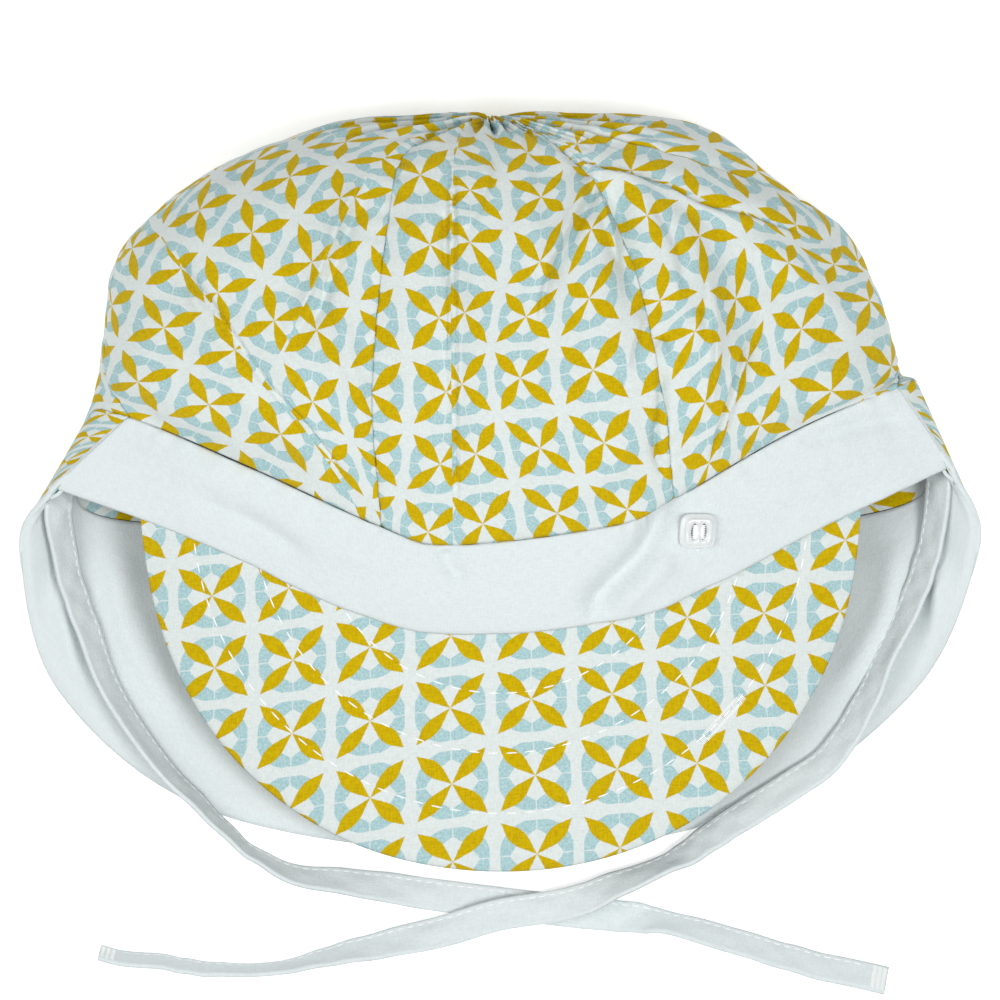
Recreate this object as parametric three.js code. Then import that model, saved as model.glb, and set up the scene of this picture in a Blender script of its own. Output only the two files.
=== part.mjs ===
// A baby's sun hat of printed cotton, in millimetres. It lies on its back with its front up:
// X runs to the right, Y from the peak towards the crown's top, Z up from the surface.
import * as THREE from 'three';
import { LoftGeometry } from 'three/addons/geometries/LoftGeometry.js';
import { mergeGeometries } from 'three/addons/utils/BufferGeometryUtils.js';

// Thickness of the cloth pieces, and the gap that neighbouring pieces keep
const GAP = 0.4;
const CROWN_WALL = 1.6;
const BAND_WALL = 1.6;
const FLAP_WALL = 1.1;
const LINING_WALL = 1.0;
const LINING_GAP = 0.5;
const PEAK_WALL = 2.2;

// The peak is a round disc's front half, with its centre under the band
const PEAK_CENTRE = new THREE.Vector2( 0.2, - 2.8 );
const PEAK_HALF_WIDTH = 89.2;
const PEAK_DEPTH = 91.3;
const PEAK_SQUARENESS = 2.1;
const PEAK_EDGE_HEIGHT = 11.5;
const PEAK_RISE = 2.0;
const PEAK_DROP = 2.3;
const PEAK_TUCK = 0.05;
const PEAK_REACH = [ - 3.1, 2.38 ];

// How full the band is across its height
const BAND_BULGE = 1.0;

// The crown's sections are rounded oblongs: 1 is a round section, less is a squarer one
const SECTION_ROUNDNESS = 0.87;

// Where the gores stop short of the pole, as a share of the way down to the hem
const POLE_HOLE = 0.015;

// The ties are flat ribbons
const TIE_WIDTH = 8;
const TIE_THICKNESS = 1.2;
const TIE_STEPS = 56;

// The button is a rounded square with bevelled sides and two upright oval holes
const BUTTON_SIZE = 9;
const BUTTON_CORNER = 1.8;
const BUTTON_THICKNESS = 1.0;
const BUTTON_BEVEL = 0.7;
const BUTTON_HOLE = new THREE.Vector2( 0.55, 0.85 );
const BUTTON_HOLE_SPACING = 1.9;
const BUTTON_PLACE = new THREE.Vector2( - 2.05, 0.37 );

// Folds and relief are worked out with this step in u and v
const STEP = 0.002;

// Lines down the crown, from the front crease round by the left side. hem is where the crown's
// edge lies, and turn is the angle round the crown at its crest, shoulder and belly, in degrees
// from the front. The gores' seams are whole numbers of u, counted from the front crease.
const LINES = [
	{ line: 'front crease', hem: [ - 12, - 12.8, 44 ], turn: [ 0, 0, 0 ] },
	{ line: 'front left seam', hem: [ - 29.3, - 8.3, 43 ], turn: [ 21, 10, 10 ] },
	{ line: 'left middle', hem: [ - 61, 6, 38 ], turn: [ 52, 43, 43 ] },
	{ line: 'left temple seam', hem: [ - 92, 19, 30 ], turn: [ 84, 82, 82 ] },
	{ line: 'left side fold', hem: [ - 103, 18.5, 17 ], turn: [ 100, 101, 101 ] },
	{ line: 'left floor', hem: [ - 105, - 3, 4 ], turn: [ 120, 122, 122 ] },
	{ line: 'back left seam', hem: [ - 69, - 8.5, 0 ], turn: [ 150, 150, 150 ] },
	{ line: 'back middle', hem: [ 0, - 11.5, 0 ], turn: [ 180, 180, 180 ] },
	{ line: 'back right seam', hem: [ 60, - 9, 0 ], turn: [ 225, 212, 210 ] },
	{ line: 'right floor', hem: [ 106, 0, 4 ], turn: [ 260, 240, 238 ] },
	{ line: 'right side fold', hem: [ 104, 25.5, 17 ], turn: [ 290, 257, 254 ] },
	{ line: 'right temple seam', hem: [ 98.5, 26.5, 29 ], turn: [ 318, 272, 268 ] },
	{ line: 'right middle', hem: [ 71, 14.5, 37 ], turn: [ 332, 312, 312 ] },
	{ line: 'front right seam', hem: [ 43, - 1.5, 42 ], turn: [ 342, 337, 335 ] },
	{ line: 'front right quarter', hem: [ 28, - 8, 44 ], turn: [ 350, 348, 346 ] },
];

// Sections across the crown between its pole and its hem, by their four outermost points
const POLE = [ - 2.5, 93, 22 ];
const SECTIONS = [
	{ at: 'crest', left: [ - 50, 89.5, 19 ], front: [ - 4, 85, 43 ], right: [ 50, 91, 19 ], back: [ - 2, 91, 5 ] },
	{ at: 'shoulder', left: [ - 90.5, 65.5, 17 ], front: [ - 10.5, 64, 55 ], right: [ 82.5, 68, 17 ], back: [ - 2, 62, - 4 ] },
	{ at: 'belly', left: [ - 99, 36, 16 ], front: [ - 12.5, 25, 58 ], right: [ 98, 37, 16 ], back: [ 0, 24, - 4 ] },
];

// The crown's largest folds: from and to are [ u, v ] with v 0 at the pole and 1 at the hem,
// width is in u, and a fold of negative height is a valley
const FOLDS = [
	{ fold: 'pressed crease', from: [ 0, 0.1 ], to: [ 0, 1 ], width: 0.14, height: 1.0 },
	{ fold: 'left seam valley', from: [ 1, 0.1 ], to: [ 1, 0.95 ], width: 0.18, height: - 1.6 },
	{ fold: 'left diagonal', from: [ 2.4, 0.35 ], to: [ 1.25, 0.97 ], width: 0.2, height: 2.2 },
	{ fold: 'left hollow', from: [ 2.0, 0.3 ], to: [ 1.0, 0.8 ], width: 0.22, height: - 1.8 },
	{ fold: 'right seam valley', from: [ 13, 0.1 ], to: [ 13.1, 0.8 ], width: 0.2, height: - 2.2 },
	{ fold: 'right of crease', from: [ 14.4, 0.1 ], to: [ 14.2, 0.7 ], width: 0.2, height: 1.8 },
	{ fold: 'right pucker', from: [ 12.6, 0.3 ], to: [ 12.7, 0.85 ], width: 0.18, height: 2.4 },
	{ fold: 'right hollow', from: [ 12.3, 0.3 ], to: [ 12.2, 0.8 ], width: 0.2, height: - 1.8 },
];

// The band's lower edge, with a row for the same lines from the right temple to the left one
const BAND_EDGE = [
	{ line: 'right temple seam', edge: [ 112, 6.5, 22 ] },
	{ line: 'right middle', edge: [ 84, - 6.5, 28 ] },
	{ line: 'front right seam', edge: [ 52, - 23, 32 ] },
	{ line: 'front right quarter', edge: [ 29, - 31.5, 34 ] },
	{ line: 'front crease', edge: [ - 11.5, - 35, 34.5 ] },
	{ line: 'front left seam', edge: [ - 37, - 29, 33.5 ] },
	{ line: 'left middle', edge: [ - 73.5, - 12.5, 29 ] },
	{ line: 'left temple seam', edge: [ - 111, 1.5, 22 ] },
];

// The flap's lower hem, from the left temple round the back to the right one
const FLAP_HEM = [
	{ line: 'left temple seam', edge: [ - 111, 1.5, 22 ] },
	{ line: 'left side fold', edge: [ - 119, - 13, 13 ] },
	{ line: 'left floor', edge: [ - 110, - 49, 0 ] },
	{ line: 'back left seam', edge: [ - 71, - 79.5, 0 ] },
	{ line: 'back middle', edge: [ 0, - 89.5, 0 ] },
	{ line: 'back right seam', edge: [ 62, - 79, 0 ] },
	{ line: 'right floor', edge: [ 104, - 48, 0 ] },
	{ line: 'right side fold', edge: [ 118.9, - 12.5, 13 ] },
	{ line: 'right temple seam', edge: [ 112, 6.5, 22 ] },
];

// The ties' routes. rests is the height of what the ribbon lies on, and lean is the turn of its
// width from flat, in degrees, so it stands on its edge at 90.
const LEFT_TIE = [
	{ x: - 109.6, y: - 4.7, rests: 13.2, lean: - 38 },
	{ x: - 108.8, y: - 12, rests: 8.6, lean: - 42 },
	{ x: - 107, y: - 21, rests: 5.8, lean: - 44 },
	{ x: - 103.3, y: - 32, rests: 4.3, lean: - 46 },
	{ x: - 96.5, y: - 49.5, rests: 3.2, lean: - 55 },
	{ x: - 86, y: - 65.5, rests: 3.2, lean: - 60 },
	{ x: - 76, y: - 76, rests: 3.2, lean: - 66 },
	{ x: - 65, y: - 87, rests: 1.6, lean: - 72 },
	{ x: - 59.5, y: - 91, rests: 0.3, lean: - 70 },
	{ x: - 51, y: - 95, rests: 0.1, lean: - 58 },
	{ x: - 34.3, y: - 97.3, rests: 0.1, lean: - 36 },
	{ x: - 15, y: - 100.3, rests: 0.1, lean: - 9 },
	{ x: 6.5, y: - 103, rests: 0.1, lean: - 6 },
	{ x: 22.5, y: - 104.8, rests: 0.1, lean: - 8 },
	{ x: 34, y: - 105.8, rests: 0.1, lean: - 25 },
	{ x: 41.5, y: - 107, rests: 0.1, lean: - 52 },
	{ x: 51.8, y: - 109.5, rests: 0.1, lean: - 46 },
	{ x: 65.8, y: - 113.8, rests: 0.1, lean: - 44 },
	{ x: 79.8, y: - 117.8, rests: 0.1, lean: - 40 },
	{ x: 96.5, y: - 121.5, rests: 0.1, lean: - 38 },
];
const RIGHT_TIE = [
	{ x: 108.8, y: 2, rests: 12.3, lean: 46 },
	{ x: 108.3, y: - 6, rests: 8.3, lean: 46 },
	{ x: 106.8, y: - 14, rests: 6.0, lean: 46 },
	{ x: 103.8, y: - 23.5, rests: 4.9, lean: 46 },
	{ x: 99.8, y: - 32.5, rests: 3.8, lean: 50 },
	{ x: 95.5, y: - 41.5, rests: 3.1, lean: 54 },
	{ x: 90.5, y: - 52.8, rests: 2.9, lean: 44 },
	{ x: 82.5, y: - 65.3, rests: 2.9, lean: 34 },
	{ x: 71.5, y: - 73.5, rests: 2.9, lean: 26 },
	{ x: 62.8, y: - 78.8, rests: 2.9, lean: 28 },
	{ x: 54, y: - 84.5, rests: 2.9, lean: 34 },
	{ x: 46.3, y: - 89.8, rests: 2.2, lean: 46 },
	{ x: 41, y: - 92.5, rests: 1.8, lean: 60 },
	{ x: 30, y: - 97, rests: 2.6, lean: 44 },
	{ x: 17.5, y: - 102, rests: 3.0, lean: 14 },
	{ x: 0, y: - 105, rests: 3.2, lean: 8 },
	{ x: - 13.3, y: - 108.8, rests: 2.4, lean: 16 },
	{ x: - 28.3, y: - 112.3, rests: 0.1, lean: 38 },
	{ x: - 42.5, y: - 115.3, rests: 0.1, lean: 60 },
	{ x: - 52.3, y: - 117.8, rests: 0.1, lean: 72 },
	{ x: - 64.3, y: - 118.8, rests: 0.1, lean: 74 },
	{ x: - 75.3, y: - 118.3, rests: 0.1, lean: 70 },
	{ x: - 84, y: - 116.8, rests: 0.1, lean: 70 },
	{ x: - 94, y: - 115.8, rests: 0.1, lean: 70 },
	{ x: - 100, y: - 114.5, rests: 0.1, lean: 70 },
];

// Colours and surfaces
const printedCotton = new THREE.MeshStandardMaterial( { color: '#dedab2', roughness: 0.85 } );
const whiteCotton = new THREE.MeshStandardMaterial( { color: '#e6ecee', roughness: 0.85 } );
const clearPlastic = new THREE.MeshStandardMaterial( { color: '#f2f6f7', roughness: 0.2 } );

const hat = new THREE.Group();

function smooth( points, closed = false ) {

	return new THREE.CatmullRomCurve3( points, closed, 'catmullrom', 0.5 );

}

const vectors = ( rows, column ) => rows.map( ( row ) => new THREE.Vector3( ...row[ column ] ) );

// Curves round the hat by u. The turns are kept as what they add to an even turn, which closes.
const evenTurn = 360 / LINES.length;
const hemCurve = smooth( vectors( LINES, 'hem' ), true );
const turnCurve = smooth( vectors( LINES, 'turn' ).map( ( turn, i ) => turn.addScalar( - i * evenTurn ) ), true );
const bandCurve = smooth( vectors( BAND_EDGE, 'edge' ) );
const flapCurve = smooth( vectors( FLAP_HEM, 'edge' ) );

const hemAt = ( u ) => hemCurve.getPoint( u / LINES.length );
const bandEdgeAt = ( u ) => bandCurve.getPoint( ( u + 4 ) / ( BAND_EDGE.length - 1 ) );
const flapEdgeAt = ( u ) => flapCurve.getPoint( ( u - 3 ) / ( FLAP_HEM.length - 1 ) );

function onSection( section, turn ) {

	const angle = THREE.MathUtils.degToRad( turn );
	const side = Math.sin( angle ) > 0 ? section.left : section.right;
	const end = Math.cos( angle ) > 0 ? section.front : section.back;
	const out = Math.abs( Math.sin( angle ) ) ** SECTION_ROUNDNESS;
	const over = Math.abs( Math.cos( angle ) ) ** SECTION_ROUNDNESS;
	return new THREE.Vector3(
		end[ 0 ] + ( side[ 0 ] - end[ 0 ] ) * out,
		side[ 1 ] + ( end[ 1 ] - side[ 1 ] ) * over,
		side[ 2 ] + ( end[ 2 ] - side[ 2 ] ) * over,
	);

}

function onSurface( point ) {

	point.z = Math.max( point.z, 0 );
	return point;

}

// The crown at u round it and v down it, from the pole at 0 to the hem at 1
function crownForm( u, v ) {

	const turns = turnCurve.getPoint( u / LINES.length ).addScalar( u * evenTurn ).toArray();
	const between = SECTIONS.map( ( section, i ) => onSection( section, turns[ i ] ) );
	return onSurface( smooth( [ new THREE.Vector3( ...POLE ), ...between, hemAt( u ) ] ).getPoint( v ) );

}

function foldHeight( u, v ) {

	let height = 0;
	for ( const fold of FOLDS ) {

		const along = ( v - fold.from[ 1 ] ) / ( fold.to[ 1 ] - fold.from[ 1 ] );
		if ( along <= 0 || along >= 1 ) continue;
		const middle = THREE.MathUtils.lerp( fold.from[ 0 ], fold.to[ 0 ], along );
		const around = THREE.MathUtils.euclideanModulo( u - middle + LINES.length / 2, LINES.length ) - LINES.length / 2;
		height += fold.height * Math.exp( - ( ( around / fold.width ) ** 2 ) ) * Math.sin( Math.PI * along );

	}

	return height;

}

// The band from the crown's hem at v 0 to its own lower edge at v 1
function bandForm( u, v ) {

	const point = hemAt( u ).lerp( bandEdgeAt( u ), v );
	point.z += BAND_BULGE * Math.sin( Math.PI * v );
	return point;

}

// The peak from under the band's lower edge to its own round edge
function peakForm( u, v ) {

	const root = bandForm( u, 1 - PEAK_TUCK );
	root.z -= PEAK_DROP;
	const way = new THREE.Vector2( root.x, root.y ).sub( PEAK_CENTRE );
	const share = Math.abs( way.x / PEAK_HALF_WIDTH ) ** PEAK_SQUARENESS
		+ Math.abs( way.y / PEAK_DEPTH ) ** PEAK_SQUARENESS;
	const nearness = share ** ( 1 / PEAK_SQUARENESS );
	const rim = way.divideScalar( nearness ).add( PEAK_CENTRE );
	const rimHeight = THREE.MathUtils.lerp( PEAK_EDGE_HEIGHT, root.z, nearness ** 3 );
	const point = root.lerp( new THREE.Vector3( rim.x, rim.y, rimHeight ), v );
	point.z += PEAK_RISE * ( 1 - nearness ) * Math.sin( Math.PI * v );
	return point;

}

// The flap from the crown's hem at the back to its own lower hem
function flapForm( u, v ) {

	return onSurface( hemAt( u ).lerp( flapEdgeAt( u ), v ) );

}

// How far round the hat each form is drawn
const FORM_ENDS = new Map( [ [ crownForm, [ - Infinity, Infinity ] ], [ bandForm, [ - 4, 3 ] ],
	[ peakForm, [ - 4, 3 ] ], [ flapForm, [ 3, 11 ] ] ] );

// A form's point, its slopes along u and v, and the way out of the cloth
function lookAt( form, u, v ) {

	const [ first, last ] = FORM_ENDS.get( form );
	const [ u0, u1 ] = [ Math.max( u - STEP, first ), Math.min( u + STEP, last ) ];
	const [ v0, v1 ] = [ Math.max( v - STEP, 0 ), Math.min( v + STEP, 1 ) ];
	const alongU = form( u1, v ).sub( form( u0, v ) ).divideScalar( u1 - u0 );
	const alongV = form( u, v1 ).sub( form( u, v0 ) ).divideScalar( v1 - v0 );
	const across = alongU.clone().cross( alongV );
	const area = across.length();
	return {
		point: form( u, v ),
		out: across.divideScalar( area ),
		trimU: GAP / 2 * alongV.length() / area,
		trimV: GAP / 2 * alongU.length() / area,
	};

}

// The ways out of the other pieces that are sewn on along the crown's hem, or along the temple
// edges between the band and the flap
function seamOuts( form, u, v ) {

	const back = u > 11 ? u - LINES.length : u;
	const onHem = form === crownForm ? v === 1 : v === 0;
	const atTemple = Math.abs( back - 3 ) < STEP || Math.abs( back - 11 ) < STEP || Math.abs( back + 4 ) < STEP;
	const others = [];
	if ( onHem && form !== crownForm ) others.push( lookAt( crownForm, u, 1 ).out );
	if ( form !== bandForm && ( ( onHem && back <= 3 ) || atTemple && ( onHem || form === flapForm ) ) ) {

		others.push( lookAt( bandForm, Math.abs( back - 11 ) < STEP ? - 4 : Math.min( back, 3 ), form === crownForm ? 0 : v ).out );

	}

	if ( form !== flapForm && ( ( onHem && back >= 3 ) || atTemple && ( onHem || form === bandForm ) ) ) {

		others.push( lookAt( flapForm, back < 3 - STEP ? 11 : Math.max( back, 3 ), form === crownForm ? 0 : v ).out );

	}

	return others;

}

// A sheet of cloth over part of a form, trimmed by half a gap on each side. lift moves its outer
// face out of the form, and relief raises folds in it. Where it is sewn to others at an angle,
// their walls meet in a mitre.
function addCloth( name, material, form, { u, v, columns, rows, wall, lift = 0, relief = () => 0 } ) {

	const strips = [];
	for ( let i = 0; i <= columns; i ++ ) {

		const outer = [];
		const inner = [];
		for ( let j = 0; j <= rows; j ++ ) {

			const nominalU = THREE.MathUtils.lerp( u[ 0 ], u[ 1 ], i / columns );
			const nominalV = THREE.MathUtils.lerp( v[ 0 ], v[ 1 ], j / rows );
			const { out, trimU, trimV } = lookAt( form, nominalU, nominalV );
			const others = seamOuts( form, nominalU, nominalV );
			const mitre = others.reduce( ( sum, other ) => sum.add( other ), out.clone() ).normalize();
			mitre.divideScalar( Math.max( mitre.dot( out ), 0.6 ) );
			const across = nominalU + ( 1 - 2 * i / columns ) * trimU;
			const down = nominalV + ( 1 - 2 * j / rows ) * trimV;
			const point = form( across, down ).addScaledVector( mitre, lift + relief( across, down ) );
			outer.push( point );
			inner.push( point.clone().addScaledVector( mitre, - wall ) );

		}

		strips.push( { outer, inner } );

	}

	const faces = new LoftGeometry( strips.map( ( { outer, inner } ) => [ ...inner, ...outer.toReversed() ] ) );
	const [ first, last ] = [ strips[ 0 ], strips[ columns ] ];
	const ends = [ [ first.outer, first.inner ], [ last.inner, last.outer ] ]
		.map( ( edges ) => new LoftGeometry( edges, { closed: false } ) );
	addMesh( name, material, mergeGeometries( [ faces, ...ends ] ) );

}

function addMesh( name, material, geometry ) {

	const mesh = new THREE.Mesh( geometry, material );
	mesh.name = name;
	hat.add( mesh );
	return mesh;

}

function addCrown() {

	const gores = [
		{ name: 'crown_front', u: [ - 2, 1 ], columns: 24 },
		{ name: 'crown_front_left', u: [ 1, 3 ], columns: 16 },
		{ name: 'crown_back_left', u: [ 3, 6 ], columns: 12 },
		{ name: 'crown_back', u: [ 6, 8 ], columns: 8 },
		{ name: 'crown_back_right', u: [ 8, 11 ], columns: 12 },
		{ name: 'crown_front_right', u: [ 11, 13 ], columns: 16 },
	];
	for ( const { name, u, columns } of gores ) {

		addCloth( name, printedCotton, crownForm, {
			u, v: [ POLE_HOLE, 1 ], columns, rows: 14, wall: CROWN_WALL, relief: foldHeight,
		} );

	}

}

function addBandAndPeak() {

	addCloth( 'front_band', whiteCotton, bandForm, {
		u: [ - 4, 3 ], v: [ 0, 1 ], columns: 56, rows: 3, wall: BAND_WALL,
	} );
	addCloth( 'peak', printedCotton, peakForm, {
		u: PEAK_REACH, v: [ 0, 1 ], columns: 48, rows: 5, wall: PEAK_WALL,
	} );

}

function addFlap() {

	const whole = { u: [ 3, 11 ], v: [ 0, 1 ], columns: 32, rows: 6 };
	addCloth( 'neck_flap', printedCotton, flapForm, { ...whole, wall: FLAP_WALL } );
	addCloth( 'flap_lining', whiteCotton, flapForm, {
		...whole, wall: LINING_WALL, lift: - FLAP_WALL - LINING_GAP,
	} );

}

function addTie( name, route ) {

	const points = route.map( ( { x, y, rests, lean } ) => {

		const turn = THREE.MathUtils.degToRad( Math.abs( lean ) );
		const middle = ( TIE_WIDTH * Math.sin( turn ) + TIE_THICKNESS * Math.cos( turn ) ) / 2;
		return new THREE.Vector3( x, y, rests + middle );

	} );
	const path = smooth( points );
	const leans = smooth( route.map( ( { lean } ) => new THREE.Vector3( lean, 0, 0 ) ) );
	const up = new THREE.Vector3( 0, 0, 1 );
	const half = { width: TIE_WIDTH / 2, thickness: TIE_THICKNESS / 2 };
	const corners = [
		[ 0.9, - 1 ], [ - 0.9, - 1 ], [ - 1, - 0.4 ], [ - 1, 0.4 ], [ - 0.9, 1 ], [ 0.9, 1 ], [ 1, 0.4 ], [ 1, - 0.4 ],
	];
	const sections = [];
	for ( let i = 0; i <= TIE_STEPS; i ++ ) {

		const at = i / TIE_STEPS;
		const forward = path.getTangent( at );
		const level = new THREE.Vector3().crossVectors( forward, up ).normalize();
		const lean = THREE.MathUtils.degToRad( leans.getPoint( at ).x );
		const width = level.clone().applyAxisAngle( forward, lean );
		const thickness = new THREE.Vector3().crossVectors( width, forward );
		sections.push( corners.map( ( [ w, t ] ) => path.getPoint( at )
			.addScaledVector( width, w * half.width )
			.addScaledVector( thickness, t * half.thickness ) ) );

	}

	addMesh( name, whiteCotton, new LoftGeometry( sections, { capStart: true, capEnd: true } ) );

}

function roundedSquare( size, corner ) {

	const half = size / 2;
	const shape = new THREE.Shape();
	shape.moveTo( - half + corner, - half );
	for ( const [ x, y ] of [ [ 1, - 1 ], [ 1, 1 ], [ - 1, 1 ], [ - 1, - 1 ] ] ) {

		const start = Math.atan2( y, x ) - Math.PI / 4;
		shape.absarc( x * ( half - corner ), y * ( half - corner ), corner, start, start + Math.PI / 2 );

	}

	return shape;

}

function addButton() {

	const shape = roundedSquare( BUTTON_SIZE - 2 * BUTTON_BEVEL, BUTTON_CORNER - BUTTON_BEVEL );
	for ( const side of [ - 1, 1 ] ) {

		const hole = new THREE.Path();
		hole.absellipse( side * BUTTON_HOLE_SPACING / 2, 0, BUTTON_HOLE.x, BUTTON_HOLE.y, 0, 2 * Math.PI, true );
		shape.holes.push( hole );

	}

	const geometry = new THREE.ExtrudeGeometry( shape, {
		depth: BUTTON_THICKNESS, curveSegments: 6, steps: 1,
		bevelSize: BUTTON_BEVEL, bevelThickness: BUTTON_BEVEL, bevelSegments: 1,
	} );
	const { point, out } = lookAt( bandForm, BUTTON_PLACE.x, BUTTON_PLACE.y );
	const level = new THREE.Vector3( 0, 1, 0 ).cross( out ).normalize();
	const upright = new THREE.Vector3().crossVectors( out, level );
	const button = addMesh( 'button', clearPlastic, geometry );
	button.quaternion.setFromRotationMatrix( new THREE.Matrix4().makeBasis( level, upright, out ) );
	button.position.copy( point ).addScaledVector( out, GAP + BUTTON_BEVEL );

}

addCrown();
addBandAndPeak();
addFlap();
addTie( 'tie_left', LEFT_TIE );
addTie( 'tie_right', RIGHT_TIE );
addButton();

export default hat;
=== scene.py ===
"""A baby's sun hat of printed cotton. It lies on its back with its front up, as laid out to sell."""

import math
from functools import partial

import bmesh
import bpy
import numpy as np
from bpy.props import FloatProperty, PointerProperty
from mathutils import Matrix, Vector, noise


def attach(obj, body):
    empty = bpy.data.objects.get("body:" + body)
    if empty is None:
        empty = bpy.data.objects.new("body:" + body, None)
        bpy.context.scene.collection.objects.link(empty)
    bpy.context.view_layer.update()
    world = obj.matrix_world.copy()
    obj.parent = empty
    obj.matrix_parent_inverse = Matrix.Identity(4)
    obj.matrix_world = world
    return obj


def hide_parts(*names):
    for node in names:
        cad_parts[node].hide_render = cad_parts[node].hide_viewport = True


bl_info = {
    "name": "Baby Sun Hat",
    "version": (1, 0, 0),
    "blender": (4, 5, 0),
    "location": "View3D > Sidebar > Sun Hat",
    "description": "Dresses a baby's sun hat in printed cotton, white cotton and thread",
    "category": "Object",
}

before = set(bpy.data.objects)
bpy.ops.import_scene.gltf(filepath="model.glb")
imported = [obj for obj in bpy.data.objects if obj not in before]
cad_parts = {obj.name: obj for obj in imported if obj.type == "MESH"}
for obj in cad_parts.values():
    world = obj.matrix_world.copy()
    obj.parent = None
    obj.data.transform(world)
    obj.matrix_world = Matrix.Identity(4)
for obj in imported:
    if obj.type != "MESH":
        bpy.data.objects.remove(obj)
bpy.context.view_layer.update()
# Forms and places are in millimetres
MM = 0.001
UP = np.array([0.0, 0.0, 1.0])
CAMERA_PLACE = np.array([0.0, -1.5, 2500.0])

# Lines down the crown, from the front crease round by the left side, in millimetres. hem is where
# the crown's edge lies, and turn is the angle round the crown at its crest, shoulder and belly, in
# degrees from the front. The gores' seams are whole numbers of u, counted from the front crease.
LINES = [
    {"line": "front crease", "hem": (-12, -12.8, 44), "turn": (0, 0, 0)},
    {"line": "front left seam", "hem": (-29.3, -8.3, 43), "turn": (21, 10, 10)},
    {"line": "left middle", "hem": (-61, 6, 38), "turn": (52, 43, 43)},
    {"line": "left temple seam", "hem": (-92, 19, 30), "turn": (84, 82, 82)},
    {"line": "left side fold", "hem": (-103, 18.5, 17), "turn": (100, 101, 101)},
    {"line": "left floor", "hem": (-105, -3, 4), "turn": (120, 122, 122)},
    {"line": "back left seam", "hem": (-69, -8.5, 0), "turn": (150, 150, 150)},
    {"line": "back middle", "hem": (0, -11.5, 0), "turn": (180, 180, 180)},
    {"line": "back right seam", "hem": (60, -9, 0), "turn": (225, 212, 210)},
    {"line": "right floor", "hem": (106, 0, 4), "turn": (260, 240, 238)},
    {"line": "right side fold", "hem": (104, 25.5, 17), "turn": (290, 257, 254)},
    {"line": "right temple seam", "hem": (98.5, 26.5, 29), "turn": (318, 272, 268)},
    {"line": "right middle", "hem": (71, 14.5, 37), "turn": (332, 312, 312)},
    {"line": "front right seam", "hem": (43, -1.5, 42), "turn": (342, 337, 335)},
    {"line": "front right quarter", "hem": (28, -8, 44), "turn": (350, 348, 346)},
]
TURN_PER_LINE = 360 / len(LINES)

# Sections across the crown between its pole and its hem, by their four outermost points
POLE = (-2.5, 93, 22)
SECTIONS = [
    {"at": "crest", "left": (-50, 89.5, 19), "front": (-4, 85, 43), "right": (50, 91, 19),
     "back": (-2, 91, 5)},
    {"at": "shoulder", "left": (-90.5, 65.5, 17), "front": (-10.5, 64, 55), "right": (82.5, 68, 17),
     "back": (-2, 62, -4)},
    {"at": "belly", "left": (-99, 36, 16), "front": (-12.5, 25, 58), "right": (98, 37, 16),
     "back": (0, 24, -4)},
]
SECTION_ROUNDNESS = 0.87

# The crown's largest folds. from and to are (u, v) with v 0 at the pole and 1 at the hem, width is
# in u, and a fold of negative height is a valley
FOLDS = [
    {"fold": "pressed crease", "from": (0, 0.1), "to": (0, 1), "width": 0.14, "height": 1.0},
    {"fold": "left seam valley", "from": (1, 0.1), "to": (1, 0.95), "width": 0.18, "height": -1.6},
    {"fold": "left diagonal", "from": (2.4, 0.35), "to": (1.25, 0.97), "width": 0.2, "height": 2.2},
    {"fold": "left hollow", "from": (2.0, 0.3), "to": (1.0, 0.8), "width": 0.22, "height": -1.8},
    {"fold": "right seam valley", "from": (13, 0.1), "to": (13.1, 0.8), "width": 0.2, "height": -2.2},
    {"fold": "right of crease", "from": (14.4, 0.1), "to": (14.2, 0.7), "width": 0.2, "height": 1.8},
    {"fold": "right pucker", "from": (12.6, 0.3), "to": (12.7, 0.85), "width": 0.18, "height": 2.4},
    {"fold": "right hollow", "from": (12.3, 0.3), "to": (12.2, 0.8), "width": 0.2, "height": -1.8},
]

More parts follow.
